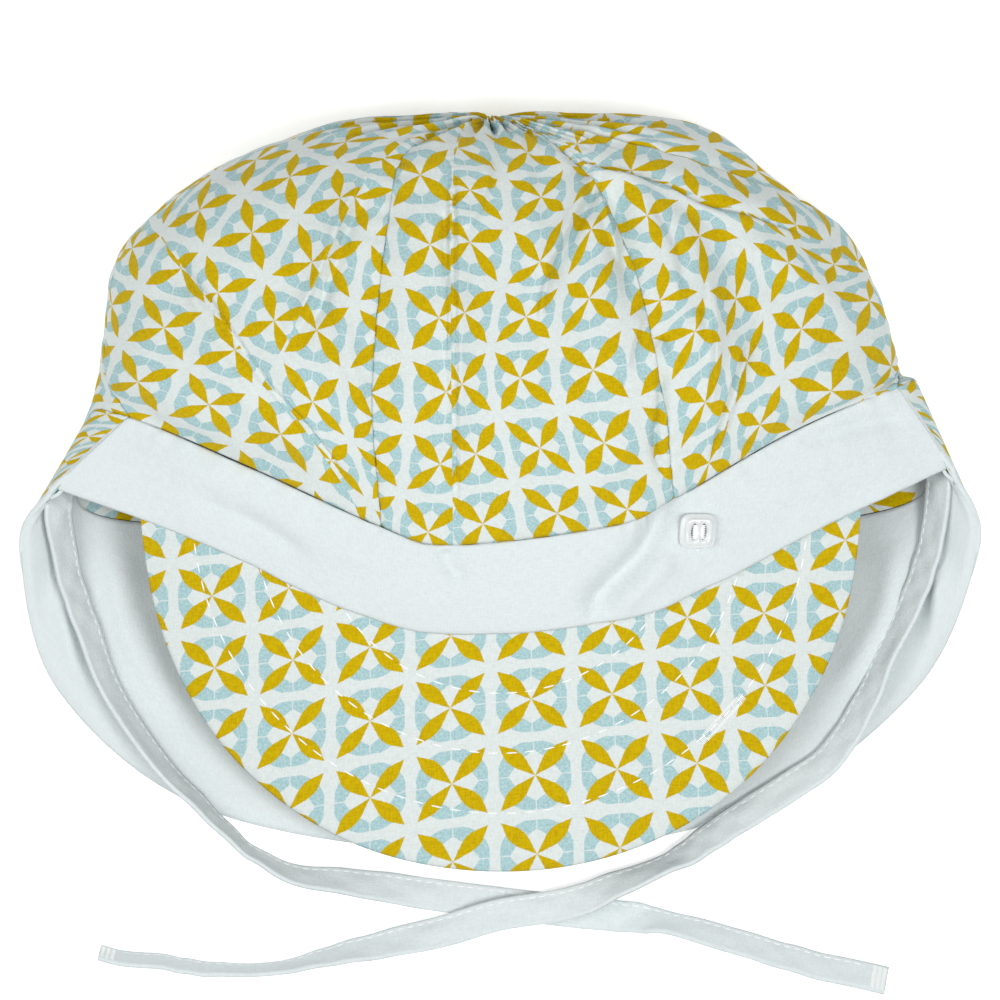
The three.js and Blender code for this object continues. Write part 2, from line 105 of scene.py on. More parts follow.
# Smaller folds, by the line that they are seen along from above. Then comes how wide the fold is to
# the left and to the right of its line, looking from its start, how high it is, and how soft it is,
# where 2 is a soft fold and 1 a pointed one.
CROWN_CREASES = {
    "pressed crease": ([(-12.2, 90), (-12.6, 60), (-12.4, 30), (-12, -13)], 4.0, 0.6, 1.3, 1.2),
    "beside the crease": ([(-11.2, 86), (-11.2, 55), (-11, 20), (-10.6, -10)], 0.5, 2.6, -1.6, 1.6),
    "left long tuck": (
        [(-85.5, 65), (-73.5, 48.5), (-60.5, 30), (-50, 17.8), (-37.5, 0)], 2.2, 0.7, 0.9, 1.4),
    "under the left long tuck": (
        [(-83, 63), (-71, 47), (-58, 28.5), (-47, 16), (-35, -1)], 0.5, 2.6, -1.5, 1.6),
    "over the left long tuck": ([(-84, 60), (-76, 47), (-63.5, 28.5), (-54, 14)], 3.0, 1.0, -0.8, 1.8),
    "left short tuck": (
        [(-32, 82), (-38.8, 70), (-42.8, 60.5), (-48, 49), (-55, 36)], 0.5, 2.6, 1.2, 1.3),
    "under the left short tuck": (
        [(-31, 80), (-37.3, 69), (-41, 59.5), (-46, 47), (-52, 35)], 2.4, 0.6, -1.1, 1.6),
    "left seam pull": ([(-44, 60), (-40, 44), (-36, 26), (-33, 6)], 2.6, 2.6, 0.7, 1.8),
    "front slant": ([(25, 83), (18, 69), (13.5, 60), (9.5, 55)], 0.6, 3.2, 1.5, 1.4),
    "under the front slant": ([(27, 83), (20, 69), (15.5, 60), (12, 54)], 2.4, 0.6, -1.2, 1.6),
    "front short": ([(12.5, 56), (10.5, 49), (9.8, 43)], 1.6, 0.6, 1.0, 1.4),
    "front inner": ([(-13.8, 72), (-13.4, 62), (-12.8, 50)], 1.5, 1.2, -0.8, 1.5),
    "front second": ([(-2, 84), (-4, 74), (-9, 64)], 0.9, 2.4, 1.1, 1.4),
    "front upper right": ([(22, 82), (27, 70), (30.5, 58)], 2.0, 0.8, 1.0, 1.4),
    "front lower sweep": ([(36, 22), (24, 4), (8, -4)], 5.0, 4.0, 0.8, 2.0),
    "right long fold": ([(52, 55.5), (53.4, 41), (52.5, 27), (51, 20)], 2.6, 0.8, 1.3, 1.3),
    "right tuck": ([(67.5, 44), (61.8, 33.3), (58.8, 24.8), (56, 17.3), (54, 7)], 0.5, 2.8, 1.4, 1.3),
    "under the right tuck": (
        [(66, 44), (60.3, 33.3), (57.2, 24.8), (54.5, 17), (52.5, 7)], 2.2, 0.5, -1.4, 1.6),
    "right short fold": ([(48.8, 46), (48.3, 40)], 1.6, 1.6, 0.7, 1.8),
    "right crumple": ([(40, 39), (41.8, 33.8)], 1.6, 1.2, 0.9, 1.5),
    "right seam bulge": ([(41, 34), (40.5, 22), (39, 12), (42, 2)], 1.2, 1.2, -1.2, 1.6),
    "right upper sweep": ([(36, 76), (44, 62), (47, 46)], 3.0, 2.0, -1.2, 1.8),
    "right temple sweep": ([(60, 66), (78, 52), (92, 36)], 4.0, 4.0, 0.8, 2.0),
    "behind the right tuck": (
        [(14, 89), (25, 82), (41, 78.5), (51, 73.7), (67, 68.5), (86, 61)], 1.5, 0.4, -0.9, 1.4),
    "over the right tuck": ([(14, 87), (26, 80), (41, 76.7), (52, 71.5), (68, 66)], 0.8, 2.4, 0.6, 1.7),
    "right deep hollow": ([(27, 79), (31, 70), (32, 60), (34, 48)], 2.0, 3.2, -1.6, 1.7),
    "right of the slant": ([(36, 47), (33, 38), (31, 30)], 1.4, 2.2, 0.9, 1.6),
}
BAND_CREASES = {
    "valley from the button": (
        [(48, 1), (41.5, -6), (36, -16), (26, -26), (20, -32)], 2.6, 4.2, -2.4, 1.7),
    "beside the valley": ([(44, -14), (36, -22), (27, -30)], 3.0, 3.0, 0.9, 2.0),
    "under the crease": ([(-14, -13), (-13, -18), (-8, -23)], 3.0, 2.0, -0.9, 1.8),
    "right end, upper": ([(72, 12), (90, 17), (104, 19)], 2.2, 2.6, -0.8, 1.8),
    "right end, lower": ([(60, -2), (82, 4), (104, 12)], 3.4, 3.4, 0.7, 2.0),
    "left sweep": ([(-96, 14), (-70, 4), (-44, -12), (-20, -20)], 4.0, 4.0, 0.8, 2.0),
    "left low dent": ([(-80, 0), (-62, -7), (-46, -17)], 2.2, 2.6, -0.6, 1.8),
}
LINING_CREASES = {
    "left, along the tie": ([(-113, -16), (-107, -40), (-92, -64)], 2.6, 3.4, 1.6, 1.7),
    "left, beside the peak": ([(-98, -10), (-93, -34), (-80, -58)], 4.0, 3.0, 1.3, 1.9),
    "right, along the tie": ([(112, -10), (110, -34), (98, -56), (80, -72)], 2.4, 2.4, 2.0, 1.6),
    "right, beside the peak": ([(100, -8), (96, -30), (84, -52)], 3.4, 3.4, 1.4, 1.9),
    "left low hem": ([(-84, -66), (-70, -76), (-58, -83)], 2.4, 2.0, 0.9, 1.9),
}

# Where a tuck hides part of the print, so that it doesn't run on across it: lines seen from above,
# from the top down, by the piece they are in
TUCK_LINES = {
    "crown_front": [[(-7.5, 95), (-11.5, 86), (-12.3, 60), (-12.2, 30), (-11.7, -14)]],
    "crown_front_left": [
        [(-95, 73), (-85.5, 65), (-73, 48.5), (-60.5, 30.5), (-50, 17.8), (-37.3, -0.5), (-33.8, -9)],
        [(-7.5, 93), (-23.8, 88.5), (-32, 81), (-37.5, 72), (-42.8, 60.5), (-48, 49), (-52.5, 39.8),
         (-59.5, 27.3), (-50, 17.8), (-37.3, -0.5), (-33.8, -9)],
    ],
    "crown_front_right": [
        [(10, 92), (25, 82), (35, 79.5), (41.3, 78.3), (47.5, 75.5), (51.3, 73.5), (60, 71),
         (67.5, 68.5), (75, 66.5), (82.5, 62.5), (100, 50)],
    ],
}

# The band's lower edge, with a row for the same lines from the right temple to the left one
BAND_EDGE = [
    {"line": "right temple seam", "edge": (112, 6.5, 22)},
    {"line": "right middle", "edge": (84, -6.5, 28)},
    {"line": "front right seam", "edge": (52, -23, 32)},
    {"line": "front right quarter", "edge": (29, -31.5, 34)},
    {"line": "front crease", "edge": (-11.5, -35, 34.5)},
    {"line": "front left seam", "edge": (-37, -29, 33.5)},
    {"line": "left middle", "edge": (-73.5, -12.5, 29)},
    {"line": "left temple seam", "edge": (-111, 1.5, 22)},
]

# How far the band bulges out between its edges, how wide it is, and the lines that it reaches
BAND_BULGE = 1.0
BAND_WIDTH = 26.0
BAND_REACH = (-4, 3)
BAND_GRID = (340, 44)

# The flap's lower hem, from the left temple round the back to the right one
FLAP_HEM = [
    {"line": "left temple seam", "edge": (-111, 1.5, 22)},
    {"line": "left side fold", "edge": (-119, -13, 13)},
    {"line": "left floor", "edge": (-110, -49, 0)},
    {"line": "back left seam", "edge": (-71, -79.5, 0)},
    {"line": "back middle", "edge": (0, -89.5, 0)},
    {"line": "back right seam", "edge": (62, -79, 0)},
    {"line": "right floor", "edge": (104, -48, 0)},
    {"line": "right side fold", "edge": (118.9, -12.5, 13)},
    {"line": "right temple seam", "edge": (112, 6.5, 22)},
]

# The turn of the print on the flap, in degrees, how far down it its outer cloth ends and its lining
# starts to turn over the hem, and the lines that it reaches from and to. The lining stops short of
# those by its inset, and turns over fully a little way in from them.
FLAP_TURN = -15
FLAP_END = 0.98
FLAP_REACH = (3, 11)
FLAP_GRID = (260, 50)
LINING_TURN = 0.93
LINING_TURN_EASE = 0.3
LINING_INSET = 0.1

# The peak is a round disc's front half, with its centre under the band
PEAK_CENTRE = np.array([0.2, -2.8])
PEAK_HALF_SIZE = np.array([89.2, 91.3])
PEAK_SQUARENESS = 2.1
PEAK_EDGE_HEIGHT = 11.5
PEAK_RISE = 2.0
PEAK_DROP = 2.3
PEAK_TUCK = 0.05
PEAK_REACH = (-3.1, 2.38)
PEAK_LENGTH = 60.0
PEAK_GRID = (260, 100)

# Its quilting is three arcs of running stitch, and its buttonhole is placed as seen from above
QUILTING_CENTRE = np.array([0.0, -2.8])
QUILTING_RADII = (47, 62, 77)
QUILTING_DIMPLE = 1.3
QUILTING_STITCH = 3.2
QUILTING_PITCH = 4.7
QUILTING_THREAD = 1.3
BUTTONHOLE = np.array([(50.5, -61.8), (60.8, -50.5)])
BUTTONHOLE_TACK = 1.4
BUTTONHOLE_PITCH = 0.42
BUTTONHOLE_SLIT = 0.2

# The ties' routes: x, y, the height of what the ribbon lies on, and the turn of its width from flat,
# in degrees, so it stands on its edge at 90
LEFT_TIE = [
    (-109.2, 1, 12.6, -36),
    (-109.6, -4.7, 13.2, -38),
    (-108.8, -12, 8.6, -42),
    (-107, -21, 5.8, -44),
    (-103.3, -32, 4.3, -46),
    (-96.5, -49.5, 3.2, -55),
    (-86, -65.5, 3.2, -60),
    (-76, -76, 3.2, -66),
    (-65, -87, 1.6, -72),
    (-59.5, -91, 0.3, -70),
    (-51, -95, 0.1, -58),
    (-34.3, -97.3, 0.1, -36),
    (-15, -100.3, 0.1, -9),
    (6.5, -103, 0.1, -6),
    (22.5, -104.8, 0.1, -8),
    (34, -105.8, 0.1, -25),
    (41.5, -107, 0.1, -52),
    (51.8, -109.5, 0.1, -46),
    (65.8, -113.8, 0.1, -44),
    (79.8, -117.8, 0.1, -40),
    (96.5, -121.5, 0.1, -38),
]
RIGHT_TIE = [
    (109.2, 7, 12.6, 44),
    (108.8, 2, 12.3, 46),
    (108.3, -6, 8.3, 46),
    (106.8, -14, 6.0, 46),
    (103.8, -23.5, 4.9, 46),
    (99.8, -32.5, 3.8, 50),
    (95.5, -41.5, 3.1, 54),
    (90.5, -52.8, 2.9, 44),
    (82.5, -65.3, 2.9, 34),
    (71.5, -73.5, 2.9, 26),
    (62.8, -78.8, 2.9, 28),
    (54, -84.5, 2.9, 34),
    (46.3, -89.8, 2.2, 46),
    (41, -92.5, 1.8, 60),
    (30, -97, 2.6, 44),
    (17.5, -102, 3.0, 14),
    (0, -105, 3.2, 8),
    (-13.3, -108.8, 2.4, 16),
    (-28.3, -112.3, 0.1, 38),
    (-42.5, -115.3, 0.1, 60),
    (-52.3, -117.8, 0.1, 72),
    (-64.3, -118.8, 0.1, 74),
    (-75.3, -118.3, 0.1, 70),
    (-84, -116.8, 0.1, 70),
    (-94, -115.8, 0.1, 70),
    (-100, -114.5, 0.1, 70),
]

# The length that the ties' weave is laid out along, their mesh's rows and columns, and their stitches
TIE_LENGTH = 268
TIE_STEPS = 268
TIE_COLUMNS = 12
TIE_STITCH = 1.9
TIE_STITCH_PITCH = 2.6
TIE_STITCH_INSET = 1.1
TIE_END_TACK = 4.0
TIE_TACK_STITCHES = 12
TIE_TACK_ROWS = 3
TIE_STEP = 0.01

# The print's flowers whose places show, by their place seen from above and their number across and
# up in the print's square net, as x, y, across and up. Each list is an area of a piece, counted from
# the left of its tucks.
FLOWERS = {
    "crown_front": [
        [
            (-18, -9.5, -1, 0), (-15, 7.5, -1, 1), (-13.5, 25.5, -1, 2), (-15.3, 44, -1, 3),
            (-17.5, 62.3, -1, 4), (-20, 79.8, -1, 5), (-32.3, 25.3, -2, 2), (-33.5, 43.5, -2, 3),
            (-35.5, 61, -2, 4), (-32, 9.5, -2, 1),
        ],
        [
            (-4.3, -7.5, 0, 0), (14.3, -4.8, 1, 0), (31.8, -3.8, 2, 0),
            (-6, 10, 0, 1), (10, 11.5, 1, 1), (26, 12.8, 2, 1),
            (-9.5, 27.5, 0, 2), (5, 29, 1, 2), (23.3, 31, 2, 2), (42.3, 34, 3, 2),
            (-8.8, 45.3, 0, 3), (6.5, 44.3, 1, 3), (22.3, 49, 2, 3),
            (-7.5, 63, 0, 4), (10, 58, 1, 4), (22.8, 66.3, 2, 4),
            (-7.5, 76, 0, 5), (10.3, 74.3, 1, 5), (25, 80, 2, 5),
            (6.8, 85.3, 1, 6), (18.8, 87.3, 2, 6),
        ],
    ],
    "crown_front_left": [
        [
            (-97, 14.5, 0, -1), (-79.3, 8.6, 1, -1), (-61.1, 1.3, 2, -1),
            (-90.5, 28, 0, 0), (-72.8, 22.3, 1, 0), (-54.8, 15, 2, 0),
            (-84, 41.5, 0, 1), (-66.3, 36, 1, 1), (-79.8, 56.5, 0, 2),
        ],
        [
            (-70.5, 50.3, 1, 2), (-56.5, 43.3, 2, 2), (-75, 71, 0, 3), (-62, 65.3, 1, 3),
            (-47, 58, 2, 3), (-52.5, 79.3, 1, 4), (-40, 74, 2, 4),
        ],
        [
            (-37.8, -7.5, 3, -1), (-42.3, 8.3, 3, 0), (-27.3, 5, 4, 0), (-46.8, 23, 3, 1),
            (-31.5, 18.8, 4, 1),
            (-45.8, 41, 3, 2), (-28, 39, 4, 2), (-43, 59, 3, 3), (-27.3, 52.8, 4, 3),
            (-36.3, 74.3, 3, 4), (-29.5, 84, 3, 5),
        ],
    ],
    "crown_front_right": [
        [
            (68.2, 1.6, 0, -1), (90.3, 10.3, 1, -1), (103.3, 15.7, 2, -1), (53.3, -7.2, -1, -1),
            (65, 17.3, 0, 0), (82.8, 25.8, 1, 0), (97.8, 32, 2, 0), (52.3, 7.8, -1, 0),
            (61.8, 33, 0, 1), (75.3, 41.3, 1, 1), (92.3, 48.3, 2, 1), (51.3, 22.8, -1, 1),
            (59, 48.8, 0, 2), (72, 57.8, 1, 2), (48.8, 40.8, -1, 2),
            (49.8, 64.5, 0, 3), (40, 48.3, -1, 3), (36.8, 69.5, 0, 4), (60.8, 71.3, 1, 3), (73.8, 67, 2, 3),
        ],
        [
            (19.3, 87.5, 0, 0), (32.8, 81, 1, 0), (45.3, 83.5, 1.5, 0.5), (49.3, 74.3, 2, 0),
            (55, 83, 2, 1), (67, 77, 2.5, 1.5), (73.8, 67.3, 3, 1),
        ],
    ],
    "peak": [
        [
            (-71.8, -62, -4, 0), (-52, -59.8, -3, 0), (-32.5, -56.8, -2, 0), (-12.5, -53.5, -1, 0),
            (7.8, -51.3, 0, 0), (28, -50, 1, 0), (47.5, -48.5, 2, 0), (66.3, -47.8, 3, 0),
            (-71.3, -43.5, -4, 1), (-51.8, -41.5, -3, 1), (-32.5, -38.3, -2, 1), (-12.3, -35.5, -1, 1),
            (28, -32.3, 1, 1), (46.8, -30.8, 2, 1), (66, -29.8, 3, 1), (85, -29.3, 4, 1),
            (-72, -25.5, -4, 2), (-52.8, -23.5, -3, 2), (86.3, -11.5, 4, 2),
            (-52.8, -79, -3, -1), (-32.5, -76, -2, -1), (-12, -72.5, -1, -1), (8.8, -70.3, 0, -1),
            (29.3, -68.8, 1, -1), (49.3, -67.3, 2, -1), (67.5, -66.3, 3, -1),
            (-11.8, -92, -1, -2), (9.3, -90, 0, -2), (30, -88.5, 1, -2),
        ],
    ],
}


def column(rows, name):
    return np.array([row[name] for row in rows], float)


HEM = column(LINES, "hem")
ADDED_TURN = column(LINES, "turn") - TURN_PER_LINE * np.arange(len(LINES))[:, None]
BAND_EDGE_POINTS = column(BAND_EDGE, "edge")
FLAP_HEM_POINTS = column(FLAP_HEM, "edge")


def between(before, first, second, after, share):
    """A smooth curve's point that is a share of the way from first to second."""
    leave = (second - before) / 2
    arrive = (after - first) / 2
    bend = 3 * (second - first) - 2 * leave - arrive
    turn = 2 * (first - second) + leave + arrive
    return first + leave * share + bend * share ** 2 + turn * share ** 3


def smooth(rows, at, closed=False):
    """Points of a smooth curve through rows, where at holds row numbers that may be between rows."""
    if closed:
        start = np.floor(at).astype(int)
        near = [rows[(start + step) % len(rows)] for step in (-1, 0, 1, 2)]
    else:
        start = np.clip(np.floor(at).astype(int), 0, len(rows) - 2)
        ends = [2 * rows[:1] - rows[1:2], rows, 2 * rows[-1:] - rows[-2:-1]]
        padded = np.concatenate(ends)
        if rows.ndim == 3:
            near = [padded[start + step, np.arange(len(at))] for step in range(4)]
        else:
            near = [padded[start + step] for step in range(4)]
    return between(*near, (at - start)[:, None])


def mix(first, second, share):
    return first + (second - first) * share


def unit(ways):
    """Ways of length 1 that point where the given ways do."""
    return ways / np.linalg.norm(ways, axis=-1, keepdims=True)


def seen(points):
    """Where points show from the camera, on the surface that the hat lies on."""
    nearness = 1 - points[:, 2:] / CAMERA_PLACE[2]
    return CAMERA_PLACE[:2] + (points[:, :2] - CAMERA_PLACE[:2]) / nearness


def hem_at(u):
    return smooth(HEM, u, closed=True)


def on_section(section, turn):
    """A point on one section across the crown, at an angle round it."""
    sine = np.sin(np.radians(turn))
    cosine = np.cos(np.radians(turn))
    side = np.where(sine[:, None] > 0, section["left"], section["right"])
    end = np.where(cosine[:, None] > 0, section["front"], section["back"])
    out = np.abs(sine)[:, None] ** SECTION_ROUNDNESS
    over = np.abs(cosine)[:, None] ** SECTION_ROUNDNESS
    across = mix(end[:, :1], side[:, :1], out)
    return np.hstack([across, mix(side[:, 1:], end[:, 1:], over)])


def on_surface(points):
    """Keeps points above the surface that the hat lies on."""
    points[:, 2] = np.maximum(points[:, 2], 0)
    return points


def crown_form(u, v):
    """The crown at u round it and v down it, from the pole at 0 to the hem at 1."""
    turns = smooth(ADDED_TURN, u, closed=True) + TURN_PER_LINE * u[:, None]
    rows = [np.tile(POLE, (len(u), 1))]
    for number, section in enumerate(SECTIONS):
        rows.append(on_section(section, turns[:, number]))
    rows.append(hem_at(u))
    return on_surface(smooth(np.stack(rows), v * (len(rows) - 1)))


def band_form(u, v):
    """The band from the crown's hem at v 0 to its own lower edge at v 1."""
    points = mix(hem_at(u), smooth(BAND_EDGE_POINTS, u - BAND_REACH[0]), v[:, None])
    points[:, 2] += BAND_BULGE * np.sin(math.pi * v)
    return points


def peak_form(u, v):
    """The peak from under the band's lower edge to its own round edge."""
    root = band_form(u, np.full_like(v, 1 - PEAK_TUCK))
    root[:, 2] -= PEAK_DROP
    way = root[:, :2] - PEAK_CENTRE
    share = np.sum(np.abs(way / PEAK_HALF_SIZE) ** PEAK_SQUARENESS, axis=1)
    nearness = share[:, None] ** (1 / PEAK_SQUARENESS)
    rim = way / nearness + PEAK_CENTRE
    rim_height = mix(PEAK_EDGE_HEIGHT, root[:, 2:], nearness ** 3)
    points = mix(root, np.hstack([rim, rim_height]), v[:, None])
    points[:, 2] += PEAK_RISE * (1 - nearness[:, 0]) * np.sin(math.pi * v)
    return points


def flap_form(u, v):
    """The flap from the crown's hem at the back to its own lower hem."""
    return on_surface(mix(hem_at(u), smooth(FLAP_HEM_POINTS, u - FLAP_REACH[0]), v[:, None]))


# How far round the hat each form is drawn, and the step that its slopes are taken with
FORM_ENDS = {crown_form: (-99, 99), band_form: BAND_REACH, peak_form: BAND_REACH, flap_form: FLAP_REACH}
STEP = 0.002
LEAST_V = 0.012


def way_out(form, u, v):
    """The way out of the cloth at each place on a form."""
    first, last = FORM_ENDS[form]
    v = np.maximum(v, LEAST_V)
    along_u = form(np.minimum(u + STEP, last), v) - form(np.maximum(u - STEP, first), v)
    along_v = form(u, np.minimum(v + STEP, 1)) - form(u, v - STEP)
    return unit(np.cross(along_u, along_v))


def fold_height(u, v):
    """How far the crown's large folds lift its cloth."""
    height = np.zeros_like(u)
    for fold in FOLDS:
        along = (v - fold["from"][1]) / (fold["to"][1] - fold["from"][1])
        middle = mix(fold["from"][0], fold["to"][0], along)
        around = (u - middle + len(LINES) / 2) % len(LINES) - len(LINES) / 2
        lift = fold["height"] * np.exp(-(around / fold["width"]) ** 2) * np.sin(math.pi * along)
        height += np.where((along > 0) & (along < 1), lift, 0)
    return height


CREASE_STEPS = 60
CREASE_END = 0.25
CREASE_PAST = 1.5


def crease_height(points, creases):
    """How far folds that are placed from above lift the cloth."""
    places = seen(points)
    height = np.zeros(len(points))
    for line, left, right, lift, softness in creases.values():
        line = np.array(line, float)
        line = smooth(line, np.linspace(0, len(line) - 1, CREASE_STEPS))
        way = unit(np.gradient(line, axis=0))
        gaps = places[:, None] - line[None]
        nearest = np.argmin(np.sum(gaps ** 2, axis=2), axis=1)
        gap = gaps[np.arange(len(places)), nearest]
        way = way[nearest]
        aside = gap[:, 0] * way[:, 1] - gap[:, 1] * way[:, 0]
        past = np.sqrt(np.maximum(np.sum(gap ** 2, axis=1) - aside ** 2, 0))
        profile = np.exp(-np.abs(aside / np.where(aside > 0, right, left)) ** softness)
        along = nearest / (CREASE_STEPS - 1)
        ends = ease(along / CREASE_END) * ease((1 - along) / CREASE_END) * ease(CREASE_PAST - past)
        height += lift * profile * ends
    return height


def ease(share):
    """Goes gently from 0 to 1 as share does."""
    share = np.clip(share, 0, 1)
    return share * share * (3 - 2 * share)


def dents(points, spreads):
    """Uneven dents of soft cloth, each set by how broad it is and its share of the height."""
    height = np.zeros(len(points))
    for spread, share in spreads:
        height += share * np.array([noise.noise(Vector(point) / spread) for point in points])
    return height


def ripple(at, beats, sway, sways):
    """An uneven ripple along the cloth, whose beats sway."""
    return np.sin(at * beats + sway * np.sin(at * sways))


def fine_ripple(at, share, beats, start):
    return share * np.sin(at * beats + start)


def sunk(distance, width):
    """How far cloth sinks beside a seam, a hem or a row of stitches, from 1 on it to 0 far off."""
    return np.exp(-(distance / width) ** 2)


# Dents as pairs of how broad they are in millimetres and their share of the height. Ripples are by
# their beats to a line, how far those sway and how often, and fine ones by their share of the
# height, their beats and where they start.
CROWN_DENTS = ((13, 1), (5, 0.35))
BAND_DENTS = ((17, 1), (6, 0.3))
PEAK_DENTS = ((21, 0.5),)
LINING_DENTS = ((15, 1), (6, 0.3))
PLEATS = (9.5, 2, 2.3)
FINE_PLEATS = (0.6, 17, 1.3)
BAND_RIPPLES = (19, 2.5, 5)
FINE_BAND_RIPPLES = (0.5, 41, 0)
TIE_RIPPLES = (5.3, 2, 1.7)
PUCKER_SWAY = 3
PUCKER_SWAYS = 9

# A gore's length in millimetres, how soon creases fade where the cloth turns away from above, and
# how far down a gore or the band each kind of relief starts, ends or comes in
GORE_LENGTH = 100
CREASE_FACING = 3
SEAM_EASE = 0.125
POLE_EASE = 0.01
GATHER_START = 0.03
GATHER_END = 0.3
GATHER_EASE = 0.26
BAND_EASE = 0.25


def crown_relief(settings, gore, points, out, u, v):
    """Folds, gathers and seams of one gore of the crown."""
    first, last = gore["u"]
    facing = ease(out[:, 2] * CREASE_FACING)
    height = fold_height(u, v) + crease_height(points, CROWN_CREASES) * facing * settings.fold_depth
    height += settings.dent_height * dents(points, CROWN_DENTS) * ease((1 - v) / SEAM_EASE)
    sides = [crown_form(np.full_like(v, side), v) for side in (first, last)]
    width = np.linalg.norm(sides[1] - sides[0], axis=1)
    from_seam = np.minimum(u - first, last - u) / (last - first) * width
    beat = 2 * math.pi * v * GORE_LENGTH / settings.pucker_spacing
    beat = np.sin(beat + PUCKER_SWAY * np.sin(PUCKER_SWAYS * v + first))
    beat *= np.exp(-from_seam / settings.pucker_reach) * ease(v / SEAM_EASE)
    height += settings.pucker_height * beat
    height -= settings.seam_depth * sunk(from_seam, settings.seam_roll)
    pleats = ripple(u, *PLEATS) + fine_ripple(u, *FINE_PLEATS)
    pleats *= ease(v / GATHER_START) * ease((GATHER_END - v) / GATHER_EASE)
    height += settings.gather_height * pleats
    height -= settings.hem_depth * sunk((1 - v) * GORE_LENGTH, settings.seam_roll)
    return height * ease(v / POLE_EASE)


def band_relief(settings, points, out, u, v):
    """Folds, dents and rolled edges of the band."""
    height = crease_height(points, BAND_CREASES) * settings.fold_depth
    height += settings.dent_height * dents(points, BAND_DENTS) * ease(v / BAND_EASE)
    beat = ripple(u, *BAND_RIPPLES) + fine_ripple(u, *FINE_BAND_RIPPLES)
    height += settings.pucker_height * beat * np.exp(-v * BAND_WIDTH / settings.pucker_reach)
    for edge in (v, 1 - v):
        height -= settings.hem_depth * sunk(edge * BAND_WIDTH, settings.seam_roll)
    return height


def peak_relief(settings, points, out, u, v):
    """The quilting's dimples and the rolled edge of the peak."""
    from_centre = np.linalg.norm(seen(points) - QUILTING_CENTRE, axis=1)
    height = settings.dent_height * dents(points, PEAK_DENTS)
    for radius in QUILTING_RADII:
        height -= settings.quilting_depth * sunk(from_centre - radius, QUILTING_DIMPLE)
    return height - settings.hem_depth * sunk((1 - v) * PEAK_LENGTH, settings.seam_roll)


def lining_relief(settings, points, out, u, v):
    """The lining's soft folds, which stand up into the hat, and its turn over the flap's edge."""
    folds = crease_height(points, LINING_CREASES) * settings.fold_depth
    folds += settings.dent_height * (1 + dents(points, LINING_DENTS))
    turn_over = (settings.flap_wall + settings.lining_gap) * ease((v - LINING_TURN) / (1 - LINING_TURN))
    for from_side in (u - FLAP_REACH[0], FLAP_REACH[1] - u):
        turn_over *= ease(from_side / LINING_TURN_EASE)
    return turn_over - folds * np.sin(math.pi * v)


def flat_grid(columns, rows):
    """A flat mesh grid, with each point's share of the way across and up it."""
    bm = bmesh.new()
    bmesh.ops.create_grid(bm, x_segments=columns, y_segments=rows, size=0.5)
    return bm, np.array([vert.co[:2] for vert in bm.verts]) + 0.5


def move_points(bm, points):
    for vert, point in zip(bm.verts, points):
        vert.co = point * MM


def cloth_grid(form, u, v, grid, relief=None, lift=0.0):
    """A mesh grid laid over part of a form, with its folds and its distances along the cloth."""
    bm, share = flat_grid(*grid)
    at_u = mix(*u, share[:, 0])
    at_v = mix(*v, share[:, 1])
    points = form(at_u, at_v)
    cloth = lengths(points, *grid)
    out = way_out(form, at_u, at_v)
    height = np.full(len(points), lift)
    if relief:
        height += relief(points, out, at_u, at_v)
    points = on_surface(points + out * height[:, None])
    move_points(bm, points)
    return bm, points, cloth


def lengths(points, columns, rows):
    """Each point's distance across the cloth from its middle line, and down that line."""
    net = points.reshape(rows + 1, columns + 1, 3)
    across = np.linalg.norm(np.diff(net, axis=1), axis=2)
    across = np.hstack([np.zeros((rows + 1, 1)), np.cumsum(across, axis=1)])
    across -= across[:, columns // 2][:, None]
    down = np.linalg.norm(np.diff(net[:, columns // 2], axis=0), axis=1)
    down = np.concatenate([[0], np.cumsum(down)])
    return np.stack([across, np.repeat(-down[:, None], columns + 1, axis=1)], axis=2).reshape(-1, 2)


NEAR_POINTS = 40
MARK_SLACK = 6.0
LEAST_GAP = 1e-9


def read_at(places, points, values):
    """Values of a cloth's points, read at places seen from above."""
    shown = seen(points)
    found = []
    for place in places:
        gaps = shown - place
        near = np.argsort(np.sum(gaps ** 2, axis=1))[:NEAR_POINTS]
        system = np.hstack([np.ones((NEAR_POINTS, 1)), gaps[near]])
        found.append(np.linalg.lstsq(system, values[near], rcond=None)[0][0])
    return np.array(found)


def bend_to_marks(cloth, marks_on_cloth, flowers):
    """Carries places on the cloth to places in the print, by the smoothest stretch that fits the marks."""
    def pull(gaps):
        return np.where(gaps > 0, gaps ** 2 * np.log(np.maximum(gaps, LEAST_GAP)), 0)

    count = len(flowers)
    between_marks = np.linalg.norm(marks_on_cloth[:, None] - marks_on_cloth[None], axis=2)
    flat = np.hstack([np.ones((count, 1)), marks_on_cloth])
    system = np.zeros((count + 3, count + 3))
    system[:count, :count] = pull(between_marks) + np.eye(count) * MARK_SLACK
    system[:count, count:] = flat
    system[count:, :count] = flat.T
    weights = np.linalg.solve(system, np.vstack([flowers, np.zeros((3, 2))]))
    to_marks = np.linalg.norm(cloth[:, None] - marks_on_cloth[None], axis=2)
    return np.hstack([pull(to_marks), np.ones((len(cloth), 1)), cloth]) @ weights


def print_places(name, points, cloth, pitch, turn=0.0):
    """Where each point lies in the print, in repeats of it, for each area between a piece's tucks."""
    if name not in FLOWERS:
        sine, cosine = math.sin(math.radians(turn)), math.cos(math.radians(turn))
        return [cloth @ np.array([[cosine, -sine], [sine, cosine]]) / pitch]
    found = []
    for marks in FLOWERS[name]:
        marks = np.array(marks, float)
        found.append(bend_to_marks(cloth, read_at(marks[:, :2], points, cloth), marks[:, 2:]))
    return found


CUT_REACH = 2.5
CUT_SPILL = CUT_REACH / 4
CUT_SLACK = 1e-6


